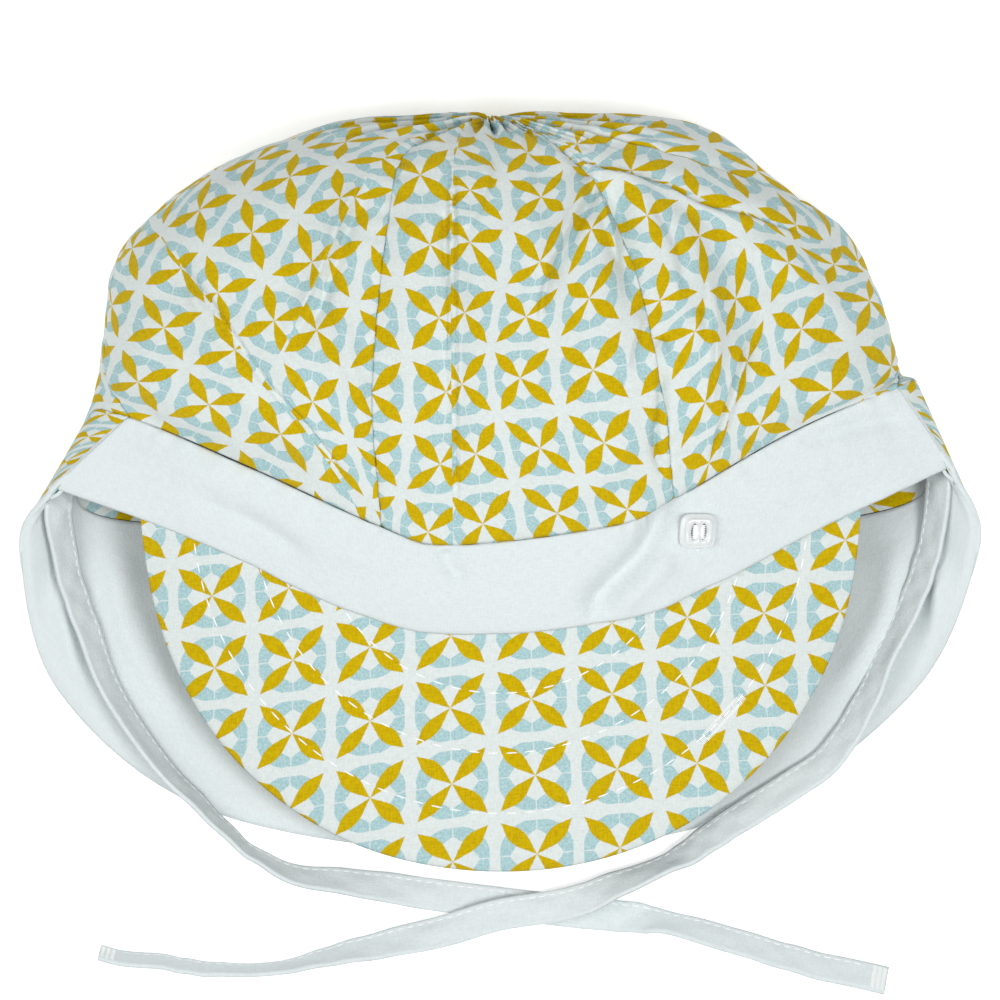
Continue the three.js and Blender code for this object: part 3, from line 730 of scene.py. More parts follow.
def cut_tucks(bm, name, cloth):
    """Cuts a piece's faces along its tucks, and gives back its points and their places on the cloth."""
    place = bm.verts.layers.float_vector.new("place")
    for vert, spot in zip(bm.verts, cloth):
        vert[place] = (*spot, 0)
    camera = Vector(CAMERA_PLACE) * MM
    for line in TUCK_LINES.get(name, ()):
        for start, end in zip(line, line[1:]):
            ends = [Vector((*spot, 0)) * MM for spot in (start, end)]
            reach = (ends[1] - ends[0]).length
            way = (ends[1] - ends[0]) / reach
            centres = seen(np.array([face.calc_center_median() for face in bm.faces]) / MM) - start
            along = centres @ np.array(way[:2])
            aside = np.abs(centres @ np.array((way[1], -way[0])))
            near = (aside < CUT_REACH) & (along > -CUT_SPILL) & (along < reach / MM + CUT_SPILL)
            faces = [face for face, is_near in zip(bm.faces, near) if is_near]
            parts = faces + list({part for face in faces for part in (*face.edges, *face.verts)})
            across = (ends[0] - camera).cross(ends[1] - camera).normalized()
            bmesh.ops.bisect_plane(bm, geom=parts, dist=CUT_SLACK, plane_co=ends[0], plane_no=across)
    points = np.array([vert.co for vert in bm.verts]) / MM
    cloth = np.array([vert[place][:2] for vert in bm.verts])
    bm.verts.layers.float_vector.remove(place)
    return points, cloth


def areas_of(name, points):
    """The number of the area between a piece's tucks that each point is in."""
    places = seen(points)
    areas = np.zeros(len(points), int)
    for line in TUCK_LINES.get(name, ()):
        line = np.array(line[::-1], float)
        areas += places[:, 0] > np.interp(places[:, 1], line[:, 1], line[:, 0])
    return areas


def map_cloth(bm, name, places):
    """Gives the mesh its pattern map."""
    bm.verts.index_update()
    layer = bm.loops.layers.uv.new("cloth")
    centres = np.array([face.calc_center_median() for face in bm.faces]) / MM
    for face, area in zip(bm.faces, areas_of(name, centres)):
        for loop in face.loops:
            loop[layer].uv = places[area][loop.vert.index]


def finish_piece(bm, name, material):
    """Makes the piece's object with smooth faces, its finish and its ride."""
    for face in bm.faces:
        face.smooth = True
    mesh = bpy.data.meshes.new(name)
    bm.to_mesh(mesh)
    bm.free()
    mesh.materials.append(material)
    piece = bpy.data.objects.new(name, mesh)
    bpy.context.collection.objects.link(piece)
    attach(piece, "root")
    return piece


def finish_cloth(bm, name, node, material, wall, offset=-1.0):
    """Makes a sheet of cloth with its wall, on the inner side unless offset says otherwise."""
    piece = finish_piece(bm, name, material)
    solidify = piece.modifiers.new("wall", "SOLIDIFY")
    solidify.thickness = wall * MM
    solidify.offset = offset
    solidify.use_even_offset = False
    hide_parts(node)
    return piece


STITCH_HEIGHT = 0.7
STITCH_SIDES = (8, 6)


def add_stitch(bm, start, end, out, width):
    """One stitch between two places, as a rounded bar of thread that stands a little out of the cloth."""
    length = np.linalg.norm(end - start)
    along = (end - start) / length
    side = unit(np.cross(out, along))
    turn = Matrix(np.column_stack([along, side, np.cross(along, side)])).to_4x4()
    size = Matrix.Diagonal((length * MM, width * MM, width * STITCH_HEIGHT * MM, 1.0))
    place = Matrix.Translation((start + end) / 2 * MM)
    bmesh.ops.create_uvsphere(bm, u_segments=STITCH_SIDES[0], v_segments=STITCH_SIDES[1], radius=0.5,
                              matrix=place @ turn @ size)


def finish_stitches(bm, name):
    """Makes the object of a row of stitches."""
    return finish_piece(bm, name, finish_named("white_thread", make_thread))


ROLL_STEPS = 120
ROLL_SIDES = 10
ROLL_TAPER = 16
ROLL_JOIN = 1e-7


def make_roll(name, path, radius):
    """A thin roll of white cloth along a path, closed at both of its ends."""
    bm, share = flat_grid(ROLL_STEPS, ROLL_SIDES)
    last = len(path) - 1
    at = share[:, 0] * last
    forward = smooth(path, np.minimum(at + 0.5, last)) - smooth(path, np.maximum(at - 0.5, 0))
    level = unit(np.cross(forward, UP))
    over = unit(np.cross(level, forward))
    turn = 2 * math.pi * share[:, 1]
    from_end = np.minimum(share[:, 0], 1 - share[:, 0]) * ROLL_STEPS
    reach = radius * np.sqrt(np.clip(from_end / ROLL_TAPER, 0, 1))
    aside = level * np.cos(turn)[:, None] + over * np.sin(turn)[:, None]
    move_points(bm, smooth(path, at) + aside * reach[:, None])
    map_cloth(bm, name, [np.column_stack([share[:, 0] * ROLL_STEPS / 2, turn * radius])])
    bmesh.ops.remove_doubles(bm, verts=bm.verts, dist=ROLL_JOIN)
    bmesh.ops.recalc_face_normals(bm, faces=bm.faces)
    return finish_piece(bm, name, white_cotton())


def linear(colour):
    """A hex sRGB colour as linear red, green, blue and full alpha."""
    parts = [int(colour[start:start + 2], 16) / 255 for start in (1, 3, 5)]
    return [part / 12.92 if part <= 0.04045 else ((part + 0.055) / 1.055) ** 2.4 for part in parts] + [1.0]


def add_node(tree, kind, inputs=None, output=0, **settings):
    """Adds a node with its settings and links, and gives back one of its outputs."""
    node = tree.nodes.new(kind)
    for name, value in settings.items():
        setattr(node, name, value)
    for name, value in (inputs or {}).items():
        if isinstance(value, bpy.types.NodeSocket):
            tree.links.new(value, node.inputs[name])
        else:
            node.inputs[name].default_value = value
    return node.outputs[output] if node.outputs else node


def new_material(name):
    material = bpy.data.materials.new(name)
    material.use_nodes = True
    material.node_tree.nodes.clear()
    return material, material.node_tree


def calculate(tree, operation, *values):
    """Adds a node that works out one number from others."""
    return add_node(tree, "ShaderNodeMath", dict(enumerate(values)), operation=operation)


def calculate_place(tree, operation, *values, **named):
    """Adds a node that works out one place from others."""
    inputs = {**dict(enumerate(values)), **named}
    return add_node(tree, "ShaderNodeVectorMath", inputs, operation=operation)


def remap(tree, value, low, high, to_low=0.0, to_high=1.0):
    """Adds a node that carries one range of numbers to another."""
    ends = {"From Min": low, "From Max": high, "To Min": to_low, "To Max": to_high}
    return add_node(tree, "ShaderNodeMapRange", {"Value": value, **ends})


def blend(tree, share, first, second, **settings):
    """Adds a node that blends two colours."""
    inputs = {0: share, 6: first, 7: second}
    return add_node(tree, "ShaderNodeMix", inputs, output=2, data_type="RGBA", **settings)


def cloudy(tree, place, **sizes):
    """Adds a node with cloudy light and dark over the cloth."""
    return add_node(tree, "ShaderNodeTexNoise", {"Vector": place, **sizes}, noise_dimensions="2D")


def end_material(tree, surface):
    """Adds the surface and the node that ends the material."""
    shader = add_node(tree, "ShaderNodeBsdfPrincipled", surface)
    add_node(tree, "ShaderNodeOutputMaterial", {"Surface": shader})


# The print's sizes in millimetres, how soft its edges are, how dark the painted shade between the
# cloth's threads gets, and the colours
THREAD_STRETCHES = ((2.4, 0.5, 1), (0.5, 2.4, 1))
CRUMPLE_HEIGHT = 2.2
DIAGONAL = math.sqrt(0.5)
HALF_REPEAT = (0.5, 0.5, 0)
PETAL_OPENING = 0.36
PETAL_CLOSING = 0.48
PETAL_SHOULDER = 1.6
PETAL_SIDE = 0.7
PRINT_SOFT = 0.1
INK_SPREAD = 0.05
RING_OUTSIDE = 8.7
RING_RADIUS = 9.1
RING_SPLIT = 0.25
RING_SLANT = 0.7
RING_INSIDE = 6.5
RING_LEAST_INK = 0.45
PRINT_LEAST_SHADE = 0.9
COTTON_LEAST_SHADE = 0.93
PRINT_WHITE = "#D8E0DE"
COTTON_WHITE = "#D9E1E2"
RING_BLUE = "#97C0C5"
PETAL_YELLOW = "#C9AC00"
# The petals' yellow in painted shade, where the weave is low between its threads
PETAL_PAINTED_SHADE = "#BFA000"
THREAD_WHITE = "#F1F3F2"
CLEAR_TINT = "#F2F7F7"
FLOOR_PALE = "#FCFCFC"


# Cotton, plain woven from threads of about 0.4 mm. Light scatters in its fibres, so it is matt with
# a faint sheen. Its threads are drawn as streaks of 0.6 mm because finer ones would not show.
def weave(tree, cloth):
    """The threads' height and painted shade, as streaks that run both ways along the cloth."""
    streaks = []
    for stretch in THREAD_STRETCHES:
        along = calculate_place(tree, "MULTIPLY", cloth, stretch)
        streaks.append(cloudy(tree, along, Scale=1.0, Detail=2.0, Roughness=0.6))
    return calculate(tree, "ADD", *streaks)


def cotton_surface(tree, colour, threads, cloth):
    """The matt surface of woven cotton over a colour."""
    crumple = cloudy(tree, cloth, Scale=0.11, Detail=3.0)
    height = calculate(tree, "MULTIPLY_ADD", crumple, CRUMPLE_HEIGHT, threads)
    normal = add_node(tree, "ShaderNodeBump", {"Height": height, "Strength": 0.35, "Distance": 0.0003})
    end_material(tree, {"Base Color": colour, "Roughness": 0.9, "Sheen Weight": 0.05,
                        "Sheen Roughness": 0.5, "Specular IOR Level": 0.1, "Normal": normal})


def paint_shade_between_threads(tree, colour, threads, least):
    """A colour darkened by painted shade between the threads."""
    shade = remap(tree, threads, 0.7, 1.2, least, 1.0)
    return blend(tree, 1.0, colour, shade, blend_type="MULTIPLY")


def make_printed_cotton(settings):
    """White cotton printed with a square net of four-petalled flowers in rings."""
    material, tree = new_material("screen_printed_cotton")
    net = add_node(tree, "ShaderNodeUVMap", uv_map="cloth")
    cloth = calculate_place(tree, "SCALE", net, Scale=settings.pitch)
    centred = calculate_place(tree, "ADD", net, HALF_REPEAT)
    centred = calculate_place(tree, "FRACTION", centred)
    centred = calculate_place(tree, "SUBTRACT", centred, HALF_REPEAT)
    centred = calculate_place(tree, "ABSOLUTE", centred)
    centred = calculate_place(tree, "SCALE", centred, Scale=settings.pitch)
    apart = tree.nodes.new("ShaderNodeSeparateXYZ")
    tree.links.new(centred, apart.inputs[0])
    x, y = apart.outputs[0], apart.outputs[1]
    far = calculate(tree, "MAXIMUM", x, y)
    near = calculate(tree, "MINIMUM", x, y)
    along = calculate(tree, "MULTIPLY", calculate(tree, "ADD", x, y), DIAGONAL)
    aside = calculate(tree, "MULTIPLY", calculate(tree, "SUBTRACT", far, near), DIAGONAL)

    # A petal widens from the flower's middle, runs straight, and narrows to its tip
    opening = calculate(tree, "MULTIPLY", along, PETAL_OPENING)
    from_tip = calculate(tree, "SUBTRACT", settings.petal_length, along)
    closing = calculate(tree, "MULTIPLY", from_tip, PETAL_CLOSING)
    half = calculate(tree, "SMOOTH_MIN", opening, closing, PETAL_SHOULDER)
    half = calculate(tree, "SMOOTH_MIN", half, settings.petal_width / 2, PETAL_SIDE)
    inside = calculate(tree, "SUBTRACT", half, aside)

    # Ink spreads a little unevenly along the threads, so no edge is quite straight
    spread = cloudy(tree, cloth, Scale=0.9, Detail=2.0)
    spread = remap(tree, spread, 0.3, 0.7, -INK_SPREAD, INK_SPREAD)
    petal = remap(tree, calculate(tree, "ADD", inside, spread), -PRINT_SOFT, PRINT_SOFT)

    # The ring is an eight-sided frame round the flower, split on both of its middle lines
    from_middle = add_node(tree, "ShaderNodeVectorMath", {0: centred}, output=1, operation="LENGTH")
    slant = calculate(tree, "MULTIPLY_ADD", near, RING_SLANT, far)
    ring = calculate(tree, "SUBTRACT", slant, RING_INSIDE)
    for more, less in ((RING_OUTSIDE, far), (RING_RADIUS, from_middle), (near, RING_SPLIT / 2)):
        ring = calculate(tree, "MINIMUM", ring, calculate(tree, "SUBTRACT", more, less))
    ring = remap(tree, calculate(tree, "ADD", ring, spread), -PRINT_SOFT, PRINT_SOFT)
    speckle = cloudy(tree, cloth, Scale=1.6, Detail=3.0, Roughness=0.7)
    speckle = remap(tree, speckle, 0.3, 0.62, RING_LEAST_INK, 1.0)
    ring = calculate(tree, "MULTIPLY", ring, speckle)
    colour = blend(tree, ring, linear(PRINT_WHITE), linear(RING_BLUE))
    threads = weave(tree, cloth)
    # Painted shade: the petals turn a deeper yellow where the weave is low, between its threads
    depth = remap(tree, threads, 0.75, 1.15)
    colour = blend(tree, petal, colour, blend(tree, depth, linear(PETAL_PAINTED_SHADE), linear(PETAL_YELLOW)))
    # Painted shade darkens the colour between the threads
    colour = paint_shade_between_threads(tree, colour, threads, PRINT_LEAST_SHADE)
    cotton_surface(tree, colour, threads, cloth)
    return material


def make_white_cotton():
    """Plain white cotton in a plain weave."""
    material, tree = new_material("plain_white_cotton")
    cloth = add_node(tree, "ShaderNodeUVMap", uv_map="cloth")
    threads = weave(tree, cloth)
    base = add_node(tree, "ShaderNodeRGB")
    base.default_value = linear(COTTON_WHITE)
    # Painted shade darkens the white between the threads
    colour = paint_shade_between_threads(tree, base, threads, COTTON_LEAST_SHADE)
    cotton_surface(tree, colour, threads, cloth)
    return material


# Polyester sewing thread, twisted and slightly glossy, so each stitch stands out from the cloth
def make_thread():
    material, tree = new_material("white_thread")
    place = add_node(tree, "ShaderNodeTexCoord", output="Object")
    twist = add_node(tree, "ShaderNodeTexNoise", {"Vector": place, "Scale": 4000.0, "Detail": 1.0})
    normal = add_node(tree, "ShaderNodeBump", {"Height": twist, "Strength": 0.3, "Distance": 0.0001})
    end_material(tree, {"Base Color": linear(THREAD_WHITE), "Roughness": 0.5, "Sheen Weight": 0.2,
                        "Normal": normal})
    return material


# Clear acrylic, moulded and polished, so its bevels catch the light and bend what is behind them
def make_clear_plastic():
    material, tree = new_material("clear_acrylic")
    place = add_node(tree, "ShaderNodeTexCoord", output="Object")
    flow = add_node(tree, "ShaderNodeTexNoise", {"Vector": place, "Scale": 400.0, "Detail": 2.0})
    normal = add_node(tree, "ShaderNodeBump", {"Height": flow, "Strength": 0.05, "Distance": 0.0001})
    end_material(tree, {"Base Color": linear(CLEAR_TINT), "Roughness": 0.1, "IOR": 1.49,
                        "Transmission Weight": 0.22, "Normal": normal})
    return material


# Pale matt board, lit from below like a photographer's table, so the hat's shadow on it is faint
def make_floor_finish():
    material, tree = new_material("pale_floor")
    end_material(tree, {"Base Color": linear(FLOOR_PALE), "Roughness": 0.9, "Specular IOR Level": 0.2,
                        "Emission Color": linear(FLOOR_PALE), "Emission Strength": 0.3})
    return material


def finish_named(name, make, *arguments):
    """The finish of this name, made the first time that it is asked for."""
    return bpy.data.materials.get(name) or make(*arguments)


def white_cotton():
    return finish_named("plain_white_cotton", make_white_cotton)


def printed_cotton(context):
    return finish_named("screen_printed_cotton", make_printed_cotton, context.scene.hat_print)


def setting(name, description, default, **more):
    """A size that can be set in the panel."""
    return FloatProperty(name=name, description=description, default=default, **more)


class HatCloth(bpy.types.PropertyGroup):
    """Walls and relief of the cloth, in millimetres."""

    crown_wall: setting("Crown Wall", "Thickness of the crown's cloth", 1.2)
    band_wall: setting("Band Wall", "Thickness of the band", 1.6)
    peak_wall: setting("Peak Wall", "Thickness of the peak", 2.2)
    flap_wall: setting("Flap Wall", "Thickness of the flap's outer cloth", 1.1)
    lining_wall: setting("Lining Wall", "Thickness of the flap's lining", 0.9)
    lining_gap: setting("Lining Gap", "Space behind the flap's lining", 0.15)
    seam_depth: setting("Seam Depth", "How far seams sink in", 0.5)
    seam_roll: setting("Seam Roll", "How wide the cloth rolls at a seam", 0.75)
    hem_depth: setting("Hem Depth", "How far the cloth sinks at a hem", 0.5)
    edge_roll: setting("Edge Roll", "Width of the roll at the flap's edge", 1.5)
    dent_height: setting("Dent Height", "Height of the cloth's broad dents", 0.7)
    fold_depth: setting("Fold Depth", "How much deeper than drawn folds are", 1.8)
    quilting_depth: setting("Quilting Depth", "Depth of the quilting's rows", 0.28)
    pucker_height: setting("Pucker Height", "Height of a seam's puckers", 0.22)
    pucker_reach: setting("Pucker Reach", "How far puckers run from a seam", 3.5)
    pucker_spacing: setting("Pucker Spacing", "Share of a gore to a pucker", 5.5)
    gather_height: setting("Gather Height", "Height of the pleats at the pole", 1.1)


class HatPrint(bpy.types.PropertyGroup):
    """Sizes of the printed pattern, in millimetres."""

    pitch: setting("Pitch", "Distance from flower to flower", 20.0)
    petal_length: setting("Petal Length", "From the middle to a petal's tip", 12.0)
    petal_width: setting("Petal Width", "Width of a petal", 3.9)


class HatTrim(bpy.types.PropertyGroup):
    """Sizes of ties, button and stitches, in millimetres."""

    tie_width: setting("Tie Width", "Width of a tie", 8.0)
    tie_wall: setting("Tie Wall", "Thickness of a tie", 1.1)
    tie_dimple: setting("Tie Dimple", "How far a tie sinks at its stitches", 0.16)
    stitch_width: setting("Stitch Width", "Width of a stitch's thread", 0.32)
    buttonhole_width: setting("Buttonhole Width", "Width with its stitches", 2.6)


class HatStage(bpy.types.PropertyGroup):
    """Camera, floor and light."""

    camera_height: setting("Camera Height", "Height of the camera", CAMERA_PLACE[2] * MM, unit="LENGTH")
    lens: setting("Lens", "Focal length in millimetres", 360.0)


SENSOR_WIDTH = 36.0
CAMERA_CLIP = (0.1, 10.0)
FLOOR_SIZE = 2.0
FLOOR_DROP = 0.0002
WORLD_COLOUR = (1.0, 1.0, 1.0, 1.0)
WORLD_STRENGTH = 0.32
LIGHTS = (
    {"name": "main_light", "place": (0.6, -0.3, 1.4), "size": 0.6, "power": 13.0},
    {"name": "fill_light", "place": (-0.75, -0.1, 1.25), "size": 1.0, "power": 10.0},
)


class HAT_OT_stage(bpy.types.Operator):
    """Set up the camera above the hat, the pale floor and soft light"""

    bl_idname = "hat.stage"
    bl_label = "Camera, Floor and Light"

    def execute(self, context):
        settings = context.scene.hat_stage
        camera = bpy.data.cameras.new("camera")
        camera.lens = settings.lens
        camera.sensor_width = SENSOR_WIDTH
        camera.clip_start, camera.clip_end = CAMERA_CLIP
        holder = bpy.data.objects.new("camera", camera)
        holder.location = (*(CAMERA_PLACE[:2] * MM), settings.camera_height)
        context.collection.objects.link(holder)
        context.scene.camera = holder
        self.add_floor(context)
        for light in LIGHTS:
            self.add_light(context, **light)
        world = bpy.data.worlds.new("soft_light")
        world.use_nodes = True
        background = world.node_tree.nodes["Background"]
        background.inputs["Color"].default_value = WORLD_COLOUR
        background.inputs["Strength"].default_value = WORLD_STRENGTH
        context.scene.world = world
        context.scene.view_settings.view_transform = "Standard"
        return {"FINISHED"}

    def add_floor(self, context):
        bm = bmesh.new()
        bmesh.ops.create_grid(bm, x_segments=1, y_segments=1, size=FLOOR_SIZE)
        bmesh.ops.translate(bm, vec=(0, 0, -FLOOR_DROP), verts=bm.verts)
        mesh = bpy.data.meshes.new("floor")
        bm.to_mesh(mesh)
        bm.free()
        mesh.materials.append(make_floor_finish())
        floor = bpy.data.objects.new("floor", mesh)
        context.collection.objects.link(floor)

    def add_light(self, context, name, place, size, power):
        light = bpy.data.lights.new(name, "AREA")
        light.size = size
        light.energy = power
        lamp = bpy.data.objects.new(name, light)
        lamp.location = place
        lamp.rotation_euler = (-Vector(place)).to_track_quat("-Z", "Y").to_euler()
        context.collection.objects.link(lamp)


class HAT_OT_ties(bpy.types.Operator):
    """Lay the two flat ties along their routes"""

    bl_idname = "hat.ties"
    bl_label = "Ties"

    def execute(self, context):
        settings = context.scene.hat_trim
        inset = settings.tie_width / 2 - TIE_STITCH_INSET
        self.add_tie(settings, "tie_left", np.array(LEFT_TIE, float), -inset)
        self.add_tie(settings, "tie_right", np.array(RIGHT_TIE, float), inset)
        return {"FINISHED"}

    def add_tie(self, settings, name, route, inset):
        lean = np.radians(route[:, 3])
        edge = settings.tie_width * np.sin(np.abs(lean)) + settings.tie_wall * np.cos(lean)
        middle = np.column_stack([route[:, :2], route[:, 2] + edge / 2])
        bm, share = flat_grid(TIE_STEPS, TIE_COLUMNS)
        at = share[:, 0] * (len(route) - 1)
        aside = (share[:, 1] - 0.5) * settings.tie_width
        move_points(bm, on_tie(settings, middle, lean, at, aside, inset)[0])
        map_cloth(bm, name, [np.column_stack([share[:, 0] * TIE_LENGTH, aside])])
        tie = finish_cloth(bm, name + "_ribbon", name, white_cotton(), settings.tie_wall, 0.0)
        self.add_stitching(settings, name, middle, lean, inset)

    def add_stitching(self, settings, name, middle, lean, inset):
        """The stitched line along one edge of a tie, and the bar tack across its end."""
        last = len(middle) - 1
        fine = np.linspace(0, last, TIE_STEPS * 4 + 1)
        run = np.linalg.norm(np.diff(smooth(middle, fine), axis=0), axis=1)
        run = np.concatenate([[0], np.cumsum(run)])
        starts = np.arange(TIE_STITCH, run[-1] - TIE_END_TACK - TIE_STITCH_PITCH, TIE_STITCH_PITCH)
        ends = [(start, start + TIE_STITCH, inset, inset) for start in starts]
        for row in range(TIE_TACK_ROWS):
            tack = run[-1] - TIE_END_TACK + row * TIE_STITCH_PITCH / 2
            for number in range(TIE_TACK_STITCHES):
                across = (number / TIE_TACK_STITCHES - 0.5) * (settings.tie_width - TIE_STITCH_INSET)
                ends.append((tack, tack + TIE_STITCH_PITCH / 2, across, across + TIE_STITCH_INSET / 2))
        ends = np.array(ends)
        bm = bmesh.new()
        places = []
        for reach, aside in ((ends[:, 0], ends[:, 2]), (ends[:, 1], ends[:, 3])):
            at = np.interp(reach, run, fine)
            points, face = on_tie(settings, middle, lean, at, aside, inset)
            places.append(points)
        for side in (1, -1):
            surface = face * side * settings.tie_wall / 2
            for start, end, out, lift in zip(*places, face * side, surface):
                add_stitch(bm, start + lift, end + lift, out, settings.stitch_width)
        finish_stitches(bm, name + "_stitching")


def on_tie(settings, middle, lean, at, aside, inset):
    """Places on a tie's middle sheet and its ways out there, at row numbers along it."""
    last = len(middle) - 1
    forward = smooth(middle, np.minimum(at + TIE_STEP, last)) - smooth(middle, np.maximum(at - TIE_STEP, 0))
    forward = unit(forward)
    level = unit(np.cross(forward, UP))
    turn = smooth(lean[:, None], at)
    width = level * np.cos(turn) + np.cross(forward, level) * np.sin(turn)
    face = np.cross(width, forward)
    lift = ripple(at, *TIE_RIPPLES) * np.cos(aside) - sunk(aside - inset, TIE_STITCH_INSET)
    points = smooth(middle, at) + width * aside[:, None] + face * (settings.tie_dimple * lift)[:, None]
    return points, face


GORES = [
    {"name": "crown_front", "u": (-2, 1), "grid": (180, 190), "turn": 0},
    {"name": "crown_front_left", "u": (1, 3), "grid": (165, 190), "turn": 0},
    {"name": "crown_back_left", "u": (3, 6), "grid": (80, 90), "turn": -20},
    {"name": "crown_back", "u": (6, 8), "grid": (90, 90), "turn": 0},
    {"name": "crown_back_right", "u": (8, 11), "grid": (85, 90), "turn": 40},
    {"name": "crown_front_right", "u": (11, 13), "grid": (165, 190), "turn": 0},
]


class HAT_OT_crown(bpy.types.Operator):
    """Make the six printed gores of the crown, with their folds, gathers and seams"""

    bl_idname = "hat.crown"
    bl_label = "Crown Gores"

    def execute(self, context):
        settings = context.scene.hat_cloth
        pitch = context.scene.hat_print.pitch
        finish = printed_cotton(context)
        for gore in GORES:
            name = gore["name"]
            relief = partial(crown_relief, settings, gore)
            bm, points, cloth = cloth_grid(crown_form, gore["u"], (0, 1), gore["grid"], relief)
            points, cloth = cut_tucks(bm, name, cloth)
            map_cloth(bm, name, print_places(name, points, cloth, pitch, gore["turn"]))
            finish_cloth(bm, name + "_cloth", name, finish, settings.crown_wall)
        return {"FINISHED"}


class HAT_OT_band(bpy.types.Operator):
    """Make the plain turned-up band across the forehead"""

    bl_idname = "hat.band"
    bl_label = "Front Band"

    def execute(self, context):
        settings = context.scene.hat_cloth
        relief = partial(band_relief, settings)
        bm, _, cloth = cloth_grid(band_form, BAND_REACH, (0, 1), BAND_GRID, relief)
        map_cloth(bm, "front_band", [cloth])
        finish_cloth(bm, "front_band_cloth", "front_band", white_cotton(), settings.band_wall)
        return {"FINISHED"}


class HAT_OT_peak(bpy.types.Operator):
    """Make the printed peak with its quilting and its buttonhole"""

    bl_idname = "hat.peak"
    bl_label = "Peak"

    def execute(self, context):
        settings = context.scene.hat_cloth
        pitch = context.scene.hat_print.pitch
        relief = partial(peak_relief, settings)
        bm, points, _ = cloth_grid(peak_form, PEAK_REACH, (0, 1), PEAK_GRID, relief)
        map_cloth(bm, "peak", print_places("peak", points, points[:, :2], pitch))
        finish_cloth(bm, "peak_cloth", "peak", printed_cotton(context), settings.peak_wall)
        self.add_quilting(points, context.scene.hat_trim)
        self.add_buttonhole(points, context.scene.hat_trim)
        return {"FINISHED"}

    def add_quilting(self, points, settings):
        """Three arcs of running stitch, where the peak shows from under the band."""
        bm = bmesh.new()
        for radius in QUILTING_RADII:
            step = QUILTING_PITCH / radius
            turns = np.arange(math.pi, 2 * math.pi, step)
            ways = [np.column_stack([np.cos(turns + more), np.sin(turns + more)]) * radius + QUILTING_CENTRE
                    for more in (0, QUILTING_STITCH / radius)]
            middles = (ways[0] + ways[1]) / 2
            gaps = np.linalg.norm(seen(points)[None] - middles[:, None], axis=2).min(axis=1)
            shown = gaps < QUILTING_DIMPLE
            starts, ends = (read_at(way[shown], points, points) for way in ways)
            for start, end in zip(starts, ends):
                add_stitch(bm, start, end, UP, settings.stitch_width * QUILTING_THREAD)
        finish_stitches(bm, "peak_quilting")

    def add_buttonhole(self, points, settings):
        """A buttonhole bound with short stitches across, and a bar tack at each end."""
        first, last = BUTTONHOLE
        length = np.linalg.norm(last - first)
        along = (last - first) / length
        aside = np.array([-along[1], along[0]])
        half = settings.buttonhole_width / 2
        stitches = []
        for reach in np.arange(BUTTONHOLE_TACK, length - BUTTONHOLE_TACK, BUTTONHOLE_PITCH):
            for side in (1, -1):
                stitches.append((reach, side * half, reach + BUTTONHOLE_PITCH / 2, side * BUTTONHOLE_SLIT))
        for end in (0, length - BUTTONHOLE_TACK):
            for reach in np.arange(end, end + BUTTONHOLE_TACK, BUTTONHOLE_PITCH):
                stitches.append((reach, -half, reach, half))
        stitches = np.array(stitches)
        starts = first + stitches[:, :1] * along + stitches[:, 1:2] * aside
        ends = first + stitches[:, 2:3] * along + stitches[:, 3:] * aside
        bm = bmesh.new()
        for start, end in zip(read_at(starts, points, points), read_at(ends, points, points)):
            add_stitch(bm, start, end, UP, settings.stitch_width)
        finish_stitches(bm, "peak_buttonhole")


EDGE_START = 0.03
EDGE_ROUND = 1.3
EDGE_POINTS = (20, 30)


class HAT_OT_flap(bpy.types.Operator):
    """Make the neck flap's printed outer cloth, its white lining and the rolled edges at its sides"""

    bl_idname = "hat.flap"
    bl_label = "Neck Flap"

    def execute(self, context):
        settings = context.scene.hat_cloth
        pitch = context.scene.hat_print.pitch
        first, last = FLAP_REACH
        bm, points, cloth = cloth_grid(flap_form, FLAP_REACH, (0, FLAP_END), FLAP_GRID)
        map_cloth(bm, "neck_flap", print_places("neck_flap", points, cloth, pitch, FLAP_TURN))
        outer = finish_cloth(bm, "neck_flap_cloth", "neck_flap", printed_cotton(context),
                             settings.flap_wall)
        lift = -settings.flap_wall - settings.lining_gap
        relief = partial(lining_relief, settings)
        reach = (first + LINING_INSET, last - LINING_INSET)
        bm, _, cloth = cloth_grid(flap_form, reach, (0, 1), FLAP_GRID, relief, lift)
        map_cloth(bm, "flap_lining", [cloth])
        lining = finish_cloth(bm, "flap_lining_cloth", "flap_lining", white_cotton(),
                              settings.lining_wall)
        self.add_edge(settings, "flap_left_edge", first, first + EDGE_ROUND)
        self.add_edge(settings, "flap_right_edge", last, last - EDGE_ROUND)
        return {"FINISHED"}

    def add_edge(self, settings, name, corner, end):
        """The roll where the lining turns over the flap's front edge and the start of its hem."""
        down = np.linspace(EDGE_START, 1, EDGE_POINTS[0])
        round_hem = np.linspace(corner, end, EDGE_POINTS[1])[1:]
        u = np.concatenate([np.full(len(down), corner), round_hem])
        v = np.concatenate([down, np.ones(len(round_hem))])
        middle = flap_form(u, v) - way_out(flap_form, u, v) * settings.flap_wall / 4
        make_roll(name, middle, settings.edge_roll / 2)


# The button's outlines from its back to its face, as width, depth, height and how square it is
BUTTON_RINGS = [
    (8.6, 8.0, 0.0, 4.2),
    (9.2, 8.7, 0.4, 4.6),
    (9.2, 8.7, 1.1, 4.6),
    (8.8, 8.3, 1.45, 4.6),
    (7.5, 7.2, 1.5, 5.0),
    (7.1, 6.9, 1.75, 5.0),
    (6.8, 6.6, 2.1, 5.0),
    (6.3, 6.1, 2.25, 5.0),
]
BUTTON_PLACE = np.array([49.2, -9.0])
BUTTON_HOLES = ((-1.15, 0.1), (1.15, 0.1))
BUTTON_HOLE_SIZE = (1.75, 4.2)
BUTTON_HOLE_SQUARENESS = 2.0
BUTTON_SIDES = 48
BUTTON_GRID = (200, 30)
BUTTON_REACH = 3
BUTTON_STRANDS = 8
BUTTON_STRAND = 0.62
BUTTON_STRAND_GAP = 0.45
BUTTON_STRAND_REACH = 1.9
BUTTON_STRAND_SINK = 0.3
